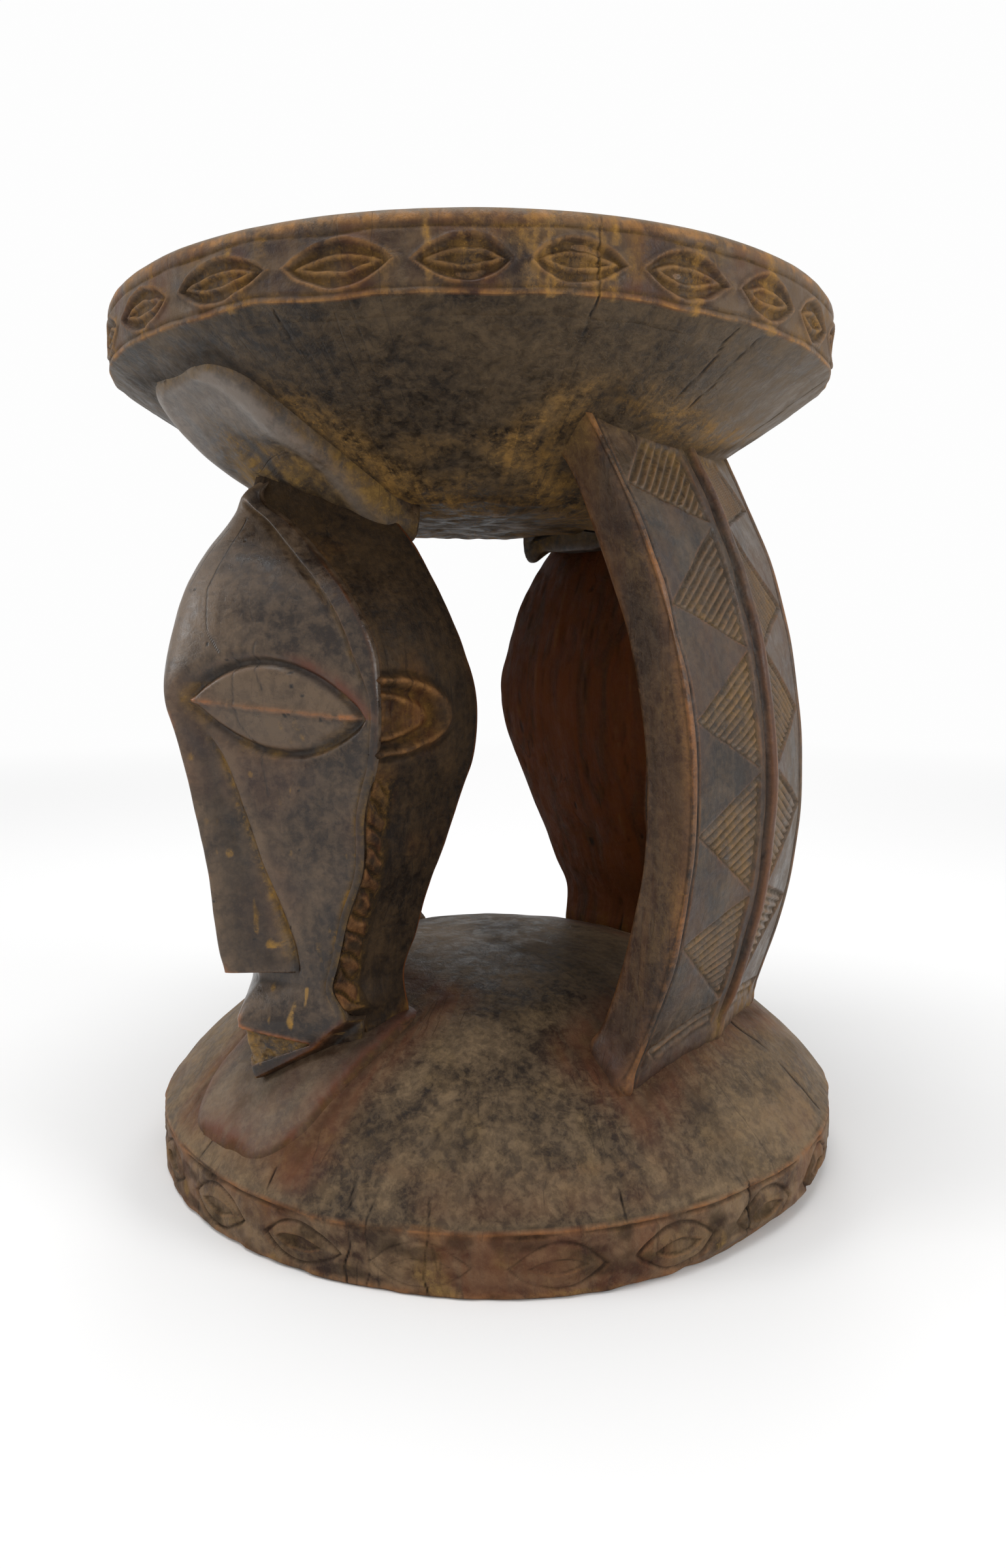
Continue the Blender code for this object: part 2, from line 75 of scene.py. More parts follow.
def lumps(points, size, seed, stretch=(1, 1, 1)):  # soft noise, -1 to 1, features of that size
    lattice = np.random.default_rng(seed).uniform(-1, 1, (32, 32, 32))
    q = points / (np.array(stretch) * size) + 100.0
    cell = np.floor(q).astype(int)
    f = q - cell
    f = f * f * (3 - 2 * f)
    total = np.zeros(points.shape[:-1])
    for corner in itertools.product((0, 1), repeat=3):
        weight = np.prod([f[..., k] if corner[k] else 1 - f[..., k] for k in range(3)], axis=0)
        i, j, k = [(cell[..., n] + corner[n]) % 32 for n in range(3)]
        total += weight * lattice[i, j, k]
    return total


def stacked(*fields):  # numbers and grids as one grid of points
    return np.stack(np.broadcast_arrays(*fields), axis=-1)


def joined(*fields):  # grids side by side
    return np.concatenate(fields, axis=1)


def awayFrom(points, centre):  # distance from an upright axis
    return np.hypot(points[..., 0] - centre[0], points[..., 1] - centre[1])


def shifted(grid, rows, columns):  # the grid moved over, wrapping round its columns
    moved = np.roll(grid, columns, axis=1)
    if rows > 0:
        return np.concatenate([moved[:1]] * rows + [moved[:-rows]])
    if rows < 0:
        return np.concatenate([moved[-rows:]] + [moved[-1:]] * -rows)
    return moved


def blurred(grid, rows, columns):
    wide = sum(shifted(grid, 0, k) for k in range(-columns, columns + 1)) / (2 * columns + 1)
    return sum(shifted(wide, k, 0) for k in range(-rows, rows + 1)) / (2 * rows + 1)


def gridNormals(points):
    along = shifted(points, -1, 0) - shifted(points, 1, 0)
    around = shifted(points, 0, -1) - shifted(points, 0, 1)
    normal = np.cross(around, along)
    normal /= np.linalg.norm(normal, axis=-1, keepdims=True) + 1e-12
    outward = points - points.mean(axis=1, keepdims=True)
    return normal if (normal * outward).sum() > 0 else -normal


def hollowness(points, reach):  # over 0 in hollows, under 0 on edges
    mean = blurred(points, reach, reach)
    return ((mean - points) * gridNormals(points)).sum(axis=-1)


def gridMesh(name, points, marks):  # a closed skin: rows of rings with a cap at each end
    rows, columns = points.shape[:2]
    ends = points[[0, -1]].mean(axis=1)
    co = np.concatenate([points.reshape(-1, 3), ends]) * mm
    first = np.arange(rows * columns).reshape(rows, columns)
    after = np.roll(first, -1, axis=1)
    quads = np.stack([first[:-1], after[:-1], after[1:], first[1:]], axis=-1).reshape(-1, 4)
    foot, top = rows * columns, rows * columns + 1
    caps = [np.stack([after[0], first[0], np.full(columns, foot)], axis=-1),
            np.stack([first[-1], after[-1], np.full(columns, top)], axis=-1)]
    caps = np.concatenate(caps)
    a, b, c, d = [co[quads[:, k]] for k in range(4)]
    volume = (np.cross(a, b) * c).sum() + (np.cross(a, c) * d).sum()
    if volume < 0:
        quads, caps = quads[:, ::-1], caps[:, ::-1]
    loops = np.concatenate([quads.ravel(), caps.ravel()])
    starts = np.concatenate([np.arange(len(quads)) * 4, len(quads) * 4 + np.arange(len(caps)) * 3])
    mesh = bpy.data.meshes.new(name)
    mesh.vertices.add(len(co))
    mesh.vertices.foreach_set("co", co.ravel())
    mesh.loops.add(len(loops))
    mesh.loops.foreach_set("vertex_index", loops)
    mesh.polygons.add(len(starts))
    mesh.polygons.foreach_set("loop_start", starts)
    mesh.polygons.foreach_set("use_smooth", np.ones(len(starts), bool))
    mesh.update(calc_edges=True)
    setMarks(mesh, marks)
    return mesh


def setGrain(mesh, grain):  # where the wood's fibres run: slow along the last of its numbers
    layer = mesh.attributes.get("grain") or mesh.attributes.new("grain", "FLOAT_VECTOR", "POINT")
    flat = np.zeros((len(mesh.vertices), 3), np.float32)
    flat[:grain.size // 3] = grain.reshape(-1, 3) * mm
    layer.data.foreach_set("vector", flat.ravel())


def setMarks(mesh, marks):
    for name, values in marks.items():
        layer = mesh.attributes.get(name) or mesh.attributes.new(name, "FLOAT", "POINT")
        flat = np.zeros(len(mesh.vertices), np.float32)
        flat[:values.size] = values.ravel()
        layer.data.foreach_set("value", flat)


def readMark(mesh, name, shape):
    flat = np.empty(len(mesh.vertices), np.float32)
    mesh.attributes[name].data.foreach_get("value", flat)
    return flat[:shape[0] * shape[1]].reshape(shape)


def meshPoints(mesh, shape):
    co = np.empty(len(mesh.vertices) * 3)
    mesh.vertices.foreach_get("co", co)
    return co.reshape(-1, 3)[:shape[0] * shape[1]].reshape(*shape, 3) / mm


def carve(mesh, tree, material, values):  # runs a carving tree over the mesh, keeps the plain result
    rough = bpy.data.objects.new("rough", mesh)
    scene.collection.objects.link(rough)
    modifier = rough.modifiers.new("carving", "NODES")
    modifier.node_group = tree
    values = {label: float(value) for label, value in values.items()} | {"Material": material}
    for item in tree.interface.items_tree:
        if item.item_type == "SOCKET" and item.in_out == "INPUT" and item.name in values:
            modifier[item.identifier] = values[item.name]
    bpy.context.view_layer.update()
    carved = rough.evaluated_get(bpy.context.evaluated_depsgraph_get())
    done = bpy.data.meshes.new_from_object(carved)
    rough.modifiers.remove(modifier)
    bpy.data.objects.remove(rough)
    return done


def finishMarks(mesh, shape, grain, gold=0, red=0, rub=0, grimeAndShade=0, split=0, paintedLightAndTone=0, spare=1):
    points = meshPoints(mesh, shape)
    small, wide = hollowness(points, 1), hollowness(points, 5)
    edges = 0.75 * ease(-small, 0.05, 0.2) + 0.35 * ease(-wide, 0.6, 2.0)
    # darker in hollows and creases: painted shade, added to the dirt and painted shade passed in as grime
    dirtAndShade = 0.7 * ease(small, 0.03, 0.15) + ease(wide, 0.2, 1.0) + grimeAndShade
    marks = {"worn": edges * spare + rub, "dirtAndShade": dirtAndShade, "gold": gold, "red": red, "split": split}
    marks = {name: np.clip(np.broadcast_to(field, shape), 0, 1) for name, field in marks.items()}
    # pale lightens or darkens the colour: random tone together with painted highlights, sheen and shade
    marks["paintedLightAndTone"] = np.clip(np.broadcast_to(paintedLightAndTone, shape), -1, 1)
    setMarks(mesh, marks)
    setGrain(mesh, grain)


def place(name, mesh, material, slot, *nodes):  # rides on the one body and stands for these nodes
    piece = bpy.data.objects.new(name, mesh)
    scene.collection.objects.link(piece)
    mesh.materials.clear()
    mesh.materials.append(material)
    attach(piece, "root")
    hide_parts(*nodes)
    return piece


class Field:  # a socket in a node tree that takes plain arithmetic
    def __init__(self, tree, socket):
        self.tree, self.socket = tree, socket

    def op(self, kind, *others):
        node = self.tree.nodes.new("ShaderNodeMath")
        node.operation = kind
        for slotIndex, value in enumerate((self, *others)):
            if isinstance(value, Field):
                self.tree.links.new(value.socket, node.inputs[slotIndex])
            else:
                node.inputs[slotIndex].default_value = value
        return Field(self.tree, node.outputs[0])

    def __add__(self, other):
        return self.op("ADD", other)

    def __sub__(self, other):
        return self.op("SUBTRACT", other)

    def __rsub__(self, other):
        return self.op("MULTIPLY", -1.0).op("ADD", other)

    def __mul__(self, other):
        return self.op("MULTIPLY", other)

    def __truediv__(self, other):
        return self.op("DIVIDE", other)

    __radd__ = __add__
    __rmul__ = __mul__

    def abs(self):
        return self.op("ABSOLUTE")

    def least(self, other):
        return self.op("MINIMUM", other)

    def most(self, other):
        return self.op("MAXIMUM", other)

    def ease(self, low, high):  # smooth step with any of its values a field
        t = ((self - low) / (high - low)).most(0.0).least(1.0)
        return t * t * (3.0 - 2.0 * t)

    def near(self, width):
        t = self / width
        return (t * t * -1.0).op("EXPONENT")


class Tree:  # a carving tree with named inputs, on the geometry's own normal
    def __init__(self, name, inputs):
        self.tree = bpy.data.node_groups.new(name, "GeometryNodeTree")
        face = self.tree.interface
        face.new_socket("Geometry", in_out="INPUT", socket_type="NodeSocketGeometry")
        face.new_socket("Material", in_out="INPUT", socket_type="NodeSocketMaterial")
        for label, value in inputs.items():
            face.new_socket(label, in_out="INPUT", socket_type="NodeSocketFloat").default_value = value
        face.new_socket("Geometry", in_out="OUTPUT", socket_type="NodeSocketGeometry")
        self.source = self.tree.nodes.new("NodeGroupInput")

    def value(self, label):
        return Field(self.tree, self.source.outputs[label])

    def named(self, attribute):
        node = self.tree.nodes.new("GeometryNodeInputNamedAttribute")
        node.data_type = "FLOAT"
        node.inputs["Name"].default_value = attribute
        return Field(self.tree, node.outputs["Attribute"])

    def finish(self, rise, stored):  # moves the surface out by rise, stores a mark
        nodes, links = self.tree.nodes, self.tree.links
        store = nodes.new("GeometryNodeStoreNamedAttribute")
        store.data_type = "FLOAT"
        store.domain = "POINT"
        store.inputs["Name"].default_value = "cut"
        links.new(self.source.outputs["Geometry"], store.inputs["Geometry"])
        links.new(stored.socket, store.inputs["Value"])
        push = nodes.new("ShaderNodeVectorMath")
        push.operation = "SCALE"
        links.new(nodes.new("GeometryNodeInputNormal").outputs[0], push.inputs[0])
        links.new((rise / 1000.0).socket, push.inputs["Scale"])  # millimetres to metres
        move = nodes.new("GeometryNodeSetPosition")
        links.new(store.outputs["Geometry"], move.inputs["Geometry"])
        links.new(push.outputs[0], move.inputs["Offset"])
        real = nodes.new("GeometryNodeRealizeInstances")
        links.new(move.outputs["Geometry"], real.inputs["Geometry"])
        paint = nodes.new("GeometryNodeSetMaterial")
        links.new(real.outputs["Geometry"], paint.inputs["Geometry"])
        links.new(self.source.outputs["Material"], paint.inputs["Material"])
        out = nodes.new("NodeGroupOutput")
        links.new(paint.outputs["Geometry"], out.inputs["Geometry"])
        return self.tree


# Where everything stands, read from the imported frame
baseLow, baseHigh = np.array(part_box("base")) / mm
seatLow, seatHigh = np.array(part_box("seat")) / mm
stool = dict(
    height=seatHigh[2],
    baseRadius=(baseHigh[0] - baseLow[0]) / 2,
    seatRadius=(seatHigh[0] - seatLow[0]) / 2,
    headTwist=math.radians(8),
    eyeHeight=238,
)
baseCentre = (baseLow + baseHigh)[:2] / 2
seatCentre = (seatLow + seatHigh)[:2] / 2


def axisAt(z):  # the leaning line from the foot's centre to the seat's
    return baseCentre + (seatCentre - baseCentre) * (z / stool["height"])[..., None]


def headTurn(z):
    return stool["headTwist"] * (stool["eyeHeight"] - z) / stool["height"]


def stand(reach, across, z, turn, bearing):  # reach runs along -Y before the turn
    angle = turn + bearing
    x = across * np.cos(angle) + reach * np.sin(angle)
    y = across * np.sin(angle) - reach * np.cos(angle)
    return np.concatenate([axisAt(z) + np.stack([x, y], axis=-1), z[..., None]], axis=-1)


def lookBack(points, turn, bearing):  # reach and across of world points
    flat = points[..., :2] - axisAt(points[..., 2])
    angle = turn + bearing
    reach = flat[..., 0] * np.sin(angle) - flat[..., 1] * np.cos(angle)
    across = flat[..., 0] * np.cos(angle) + flat[..., 1] * np.sin(angle)
    return reach, across


dome = dict(band=28, rise=74, fall=3.0)
cone = dict(flat=80, low=327, arris=393)


def domeHeight(radius):
    fall = np.clip(radius / stool["baseRadius"], 0, 1) ** dome["fall"]
    return dome["band"] + dome["rise"] * (1 - fall)


def coneHeight(radius):
    slope = (cone["arris"] - cone["low"]) / (stool["seatRadius"] - cone["flat"])
    return cone["low"] + slope * np.clip(radius - cone["flat"], 0, None)


def domeTop(points):
    return domeHeight(awayFrom(points, baseCentre))


def coneFace(points):
    return coneHeight(awayFrom(points, seatCentre))


supports = {  # bearing of each support, and its footprint on the seat and on the foot
    "front": dict(bearing=0.0, seat=(62, 163, 42), foot=(70, 160, 46)),
    "rear": dict(bearing=math.pi, seat=(62, 163, 42), foot=(80, 160, 46)),
    "right": dict(bearing=math.radians(106), seat=(85, 122, 74), foot=(96, 130, 74)),
    "left": dict(bearing=math.radians(286), seat=(75, 112, 63), foot=(86, 120, 63)),
}


def footprintGap(points, where):  # distance from the nearest support's outline, under 0 inside
    gap = np.full(points.shape[:-1], 1000.0)
    for name, support in supports.items():
        turn = headTurn(points[..., 2]) if name in ("front", "rear") else 0.0
        reach, across = lookBack(points, turn, support["bearing"])
        inner, outer, half = support[where]
        dx = np.maximum(inner - reach, reach - outer)
        dy = np.abs(across) - half
        outside = np.hypot(np.maximum(dx, 0), np.maximum(dy, 0))
        gap = np.minimum(gap, outside + np.minimum(np.maximum(dx, dy), 0))
    return gap


def tint(code):  # a hex colour as scene-linear red, green, blue and alpha
    parts = [int(code[k:k + 2], 16) / 255 for k in (0, 2, 4)]
    return [p / 12.92 if p <= 0.04045 else ((p + 0.055) / 1.055) ** 2.4 for p in parts] + [1.0]


def mixColour(tree, factor, first, second, blend="MIX"):
    node = tree.nodes.new("ShaderNodeMix")
    node.data_type = "RGBA"
    node.blend_type = blend
    for socket, value in ((node.inputs[0], factor), (node.inputs[6], first), (node.inputs[7], second)):
        if isinstance(value, Field):
            tree.links.new(value.socket, socket)
        elif isinstance(value, bpy.types.NodeSocket):
            tree.links.new(value, socket)
        else:
            socket.default_value = value
    return node.outputs[2]


def agedWoodGroup():
    tree = bpy.data.node_groups.new("agedWood", "ShaderNodeTree")
    face = tree.interface
    for label in ("Dark", "Light", "Edge", "Dust", "Red"):
        face.new_socket(label, in_out="INPUT", socket_type="NodeSocketColor")
    for label in ("Grain", "Gloss", "Checks"):
        face.new_socket(label, in_out="INPUT", socket_type="NodeSocketFloat")
    face.new_socket("Color", in_out="OUTPUT", socket_type="NodeSocketColor")
    face.new_socket("Roughness", in_out="OUTPUT", socket_type="NodeSocketFloat")
    face.new_socket("Height", in_out="OUTPUT", socket_type="NodeSocketFloat")
    source = tree.nodes.new("NodeGroupInput")
    out = tree.nodes.new("NodeGroupOutput")
    coordinates = tree.nodes.new("ShaderNodeTexCoord").outputs["Object"]

    def mark(name):
        node = tree.nodes.new("ShaderNodeAttribute")
        node.attribute_name = name
        return Field(tree, node.outputs["Fac"])

    along = tree.nodes.new("ShaderNodeAttribute")
    along.attribute_name = "grain"

    def noise(scale, detail, vector=coordinates, distortion=0.0, rough=0.55):
        node = tree.nodes.new("ShaderNodeTexNoise")
        node.inputs["Scale"].default_value = scale
        node.inputs["Detail"].default_value = detail
        node.inputs["Roughness"].default_value = rough
        node.inputs["Distortion"].default_value = distortion
        tree.links.new(vector, node.inputs["Vector"])
        return Field(tree, node.outputs["Fac"])

    names = ("worn", "dirtAndShade", "gold", "red", "split", "paintedLightAndTone")
    worn, dirtAndShade, gold, red, split, paintedLightAndTone = [mark(name) for name in names]
    grain = Field(tree, source.outputs["Grain"])
    gloss = Field(tree, source.outputs["Gloss"])
    fibreWay = along.outputs["Vector"]
    patches = noise(20, 6, distortion=0.9, rough=0.68).ease(0.4, 0.62)
    mottle = noise(85, 7, distortion=0.5, rough=0.72).ease(0.38, 0.64)
    fibres = noise(300, 5, fibreWay, rough=0.65).ease(0.38, 0.64)
    grit = noise(270, 5, distortion=0.3, rough=0.68).ease(0.4, 0.62)
    specks = noise(600, 4, rough=0.7).ease(0.54, 0.7)
    scrapes = noise(150, 4, fibreWay, 0.6, 0.7).ease(0.64, 0.72)
    streaks = noise(70, 5, fibreWay, 1.0)
    here = noise(26, 2)
    fine = (noise(42, 4, fibreWay, 0.1, 0.5) - 0.5).abs()
    hairline = (1.0 - fine.ease(0.002, 0.011)) * here.ease(0.5, 0.6)
    cracks = hairline * Field(tree, source.outputs["Checks"])
    # tone takes the pale mark: random tone together with painted highlights, sheen and shade
    tone = patches * 0.36 + mottle * 0.34 + grit * 0.3 + fibres * grain * 0.25 + scrapes * 0.2 - 0.1 + paintedLightAndTone
    colour = mixColour(tree, tone.most(0.0).least(1.25), source.outputs["Dark"], source.outputs["Light"])
    reddish = (red * (streaks.ease(0.3, 0.62) * 0.6 + 0.4)).least(1.0)
    colour = mixColour(tree, reddish, colour, source.outputs["Red"])
    rubbed = (worn * (streaks.ease(0.42, 0.58) * 0.5 + mottle * 0.25 + grit * 0.35)).least(1.0)
    colour = mixColour(tree, rubbed * 0.9, colour, source.outputs["Edge"])
    # dark mix from the dirt mark: dirt together with painted shade in hollows and between parts
    grimeAndShade = (dirtAndShade * (mottle * 0.5 + 0.5)).least(1.0)
    colour = mixColour(tree, grimeAndShade * 0.8, colour, tint("150f0b"))
    dusty = gold * (mottle * 0.3 + streaks.ease(0.46, 0.6) * 0.3 + grit * 0.35 + specks * 0.5)
    dusty = (dusty + specks * 0.05).least(1.0)
    colour = mixColour(tree, dusty * 0.8, colour, source.outputs["Dust"])
    opened = (split + cracks).least(1.0)
    colour = mixColour(tree, opened * 0.9, colour, tint("0b0705"))
    rough = gloss + mottle * 0.2 + grimeAndShade * 0.3 + dusty * 0.35 - rubbed * 0.03 + reddish * 0.12
    height = fibres * grain * 0.5 + mottle * 0.4 + grit * 0.3 + specks * 0.1 - opened * 1.6 + dusty * 0.3
    tree.links.new(colour, out.inputs["Color"])
    tree.links.new(rough.least(0.95).socket, out.inputs["Roughness"])
    tree.links.new(height.socket, out.inputs["Height"])
    return tree


woodGroup = agedWoodGroup()
finishes = {  # colours in hex, bump depth in mm
    "seat": dict(dark="160e07", light="574631", edge="a87539", dust="997238", red="4a2711",
                 grain=0.25, gloss=0.40, checks=0.25, specular=0.28, bump=0.32),
    "base": dict(dark="1e140c", light="746048", edge="8e5c32", dust="8c7040", red="60361f",
                 grain=0.2, gloss=0.52, checks=0.3, specular=0.2, bump=0.45),
    "mask": dict(dark="20150d", light="5c4a38", edge="9a5d2c", dust="9c7530", red="552a16",
                 grain=0.4, gloss=0.27, checks=0.15, specular=0.45, bump=0.15),
    "skull": dict(dark="160d06", light="43321f", edge="825a34", dust="785826", red="602e10",
                  grain=0.8, gloss=0.5, checks=0.4, specular=0.15, bump=0.35),
    "crest": dict(dark="29221c", light="6c6157", edge="7a5236", dust="8a6a33", red="54301f",
                  grain=0.4, gloss=0.34, checks=0.3, specular=0.4, bump=0.25),
    "pad": dict(dark="30241a", light="6e5c48", edge="7a4a2a", dust="7c6030", red="5a2f1b",
                grain=0.3, gloss=0.42, checks=0.4, specular=0.3, bump=0.30),
    "panel": dict(dark="1e150d", light="514130", edge="96602e", dust="8e6f3c", red="4c2a17",
                  grain=0.5, gloss=0.35, checks=0.3, specular=0.3, bump=0.22),
}


def woodMaterial(name):
    values = finishes[name]
    material = bpy.data.materials.new(name + "Wood")
    material.use_nodes = True
    tree = material.node_tree
    shader = tree.nodes["Principled BSDF"]
    wood = tree.nodes.new("ShaderNodeGroup")
    wood.node_tree = woodGroup
    for label in ("Dark", "Light", "Edge", "Dust", "Red"):
        wood.inputs[label].default_value = tint(values[label.lower()])
    for label in ("Grain", "Gloss", "Checks"):
        wood.inputs[label].default_value = values[label.lower()]
    bump = tree.nodes.new("ShaderNodeBump")
    bump.inputs["Strength"].default_value = 1.0
    bump.inputs["Distance"].default_value = values["bump"] * mm
    tree.links.new(wood.outputs["Height"], bump.inputs["Height"])
    tree.links.new(wood.outputs["Color"], shader.inputs["Base Color"])
    tree.links.new(wood.outputs["Roughness"], shader.inputs["Roughness"])
    tree.links.new(bump.outputs[0], shader.inputs["Normal"])
    shader.inputs["Specular IOR Level"].default_value = values["specular"]
    return material


woods = {name: woodMaterial(name) for name in finishes}
print("wood finishes ready")


def almondBandTree():
    tree = Tree("almondBand", {
        "Pitch": 47, "Length": 36, "Height": 17, "Depth": 1.4, "Line": 1.2,
        "Lens Length": 29, "Lens Height": 6.5, "Lens Rise": 1.2, "Rim": 0.45, "Pocket": 1,
    })
    along, up, amount = tree.named("along"), tree.named("up"), tree.named("amount")
    pitch = tree.value("Pitch")
    cell = ((along / pitch).op("FRACT") - 0.5) * pitch  # distance from the motif's middle

    def almond(length, height):  # distance inside an almond's outline, roughly
        end = cell / (length * 0.5)
        return (1.0 - end * end - up.abs() / (height * 0.5)) * height * 0.42

    outer = almond(tree.value("Length"), tree.value("Height"))
    inner = almond(tree.value("Lens Length"), tree.value("Lens Height"))
    line = tree.value("Line")
    depth = tree.value("Depth")
    rim = outer.near(line * 0.8) * tree.value("Rim")
    pocket = outer.ease(line * 0.3, line * 1.6) * tree.value("Pocket") * -1.0
    lens = (inner.ease(line * -0.9, line * 0.2) * tree.value("Lens Rise") / depth
            - inner.ease(line * 0.5, line * 1.2) * 0.9)
    rise = (rim + pocket + lens) * depth * amount
    return tree.finish(rise, outer.ease(line * 0.6, line * 1.6) * amount)


almondBand = almondBandTree()


def arcFrom(points, centre):  # angle round a centre
    return np.arctan2(points[..., 1] - centre[1], points[..., 0] - centre[0])


def fromBearing(angle, bearing):  # degrees past a bearing, which is counted from the camera's side
    return (np.degrees(angle) + 40 - bearing + 180) % 360 - 180


def motifPlace(angle, spots, count):  # counts motifs round the band, at the bearings in spots
    seen = (np.degrees(angle) + 40) % 360
    bearings = list(spots) + [spots[0] + 360]
    first = spots.index(min(spots, key=abs))
    numbers = [k - first for k in range(len(spots))] + [count - first]
    seen = np.where(seen > bearings[-1], seen - 360, seen)
    return np.interp(seen, bearings, numbers) + 0.5


def bandStreaks(angle, radius, spots, points, seed):  # vertical scrapes down to lighter wood
    total = np.zeros(angle.shape)
    for bearing, width in spots:
        off = np.radians(fromBearing(angle, bearing)) * radius
        total = np.maximum(total, near(off + lumps(points, 8, seed) * 1.5, width))
    return total * ease(lumps(points, 3, seed + 1), -0.5, 0.3)


def roundGrain(points, centre, reach):  # radial on top and below, upright on the band
    angle = arcFrom(points, centre)
    slow = (awayFrom(points, centre) - points[..., 2]) * 0.2
    return stacked(reach * np.cos(angle), reach * np.sin(angle), slow)


def turned(profile, centre, columns):  # rings of (radius, height), with their bearing, radius and height
    angle = np.linspace(0, 2 * math.pi, columns, endpoint=False)
    radius, height = np.array(profile, float).T[:, :, None]
    points = stacked(centre[0] + radius * np.cos(angle), centre[1] + radius * np.sin(angle), height)
    return points, arcFrom(points, centre), awayFrom(points, centre), points[..., 2].copy()


def drying(points, centre, radius, rows, seed):  # placed cracks, from rim towards the middle
    # each: bearing, where it starts and ends inside the rim, width
    angle, away = arcFrom(points, centre), awayFrom(points, centre)
    split = np.zeros(angle.shape)
    for k, (bearing, start, end, width) in enumerate(rows):
        sway = lumps(stacked(1000.0 * k, away, points[..., 2]), 9, seed) * 1.6
        off = np.radians(fromBearing(angle, bearing)) * away + sway
        depth = radius - away
        live = ease(depth, start - 1.5, start + 1.5) * fade(depth, end - 8, end)
        live *= ease(lumps(points, 14, seed + k), -0.8, 0.1)
        split = np.maximum(split, near(off, width) * live)
    return split


def pushOut(points, angle, push):  # moves a turned shape's points out from its axis
    points += stacked(np.cos(angle), np.sin(angle), 0.0) * push[..., None]


def carveAlmonds(name, points, angle, up, amount, values):  # a closed skin with its band cut
    pitch = 2 * math.pi * values["radius"] / values["almonds"]
    size, seed, sway = values["stray"]
    along = motifPlace(angle, values["spots"], values["almonds"]) * pitch + lumps(points, size, seed) * sway
    mesh = gridMesh(name, points, {"along": along, "up": up, "amount": amount})
    mesh = carve(mesh, almondBand, values["wood"], dict(values["almond"], Pitch=pitch))
    return mesh, readMark(mesh, "cut", points.shape[:2])


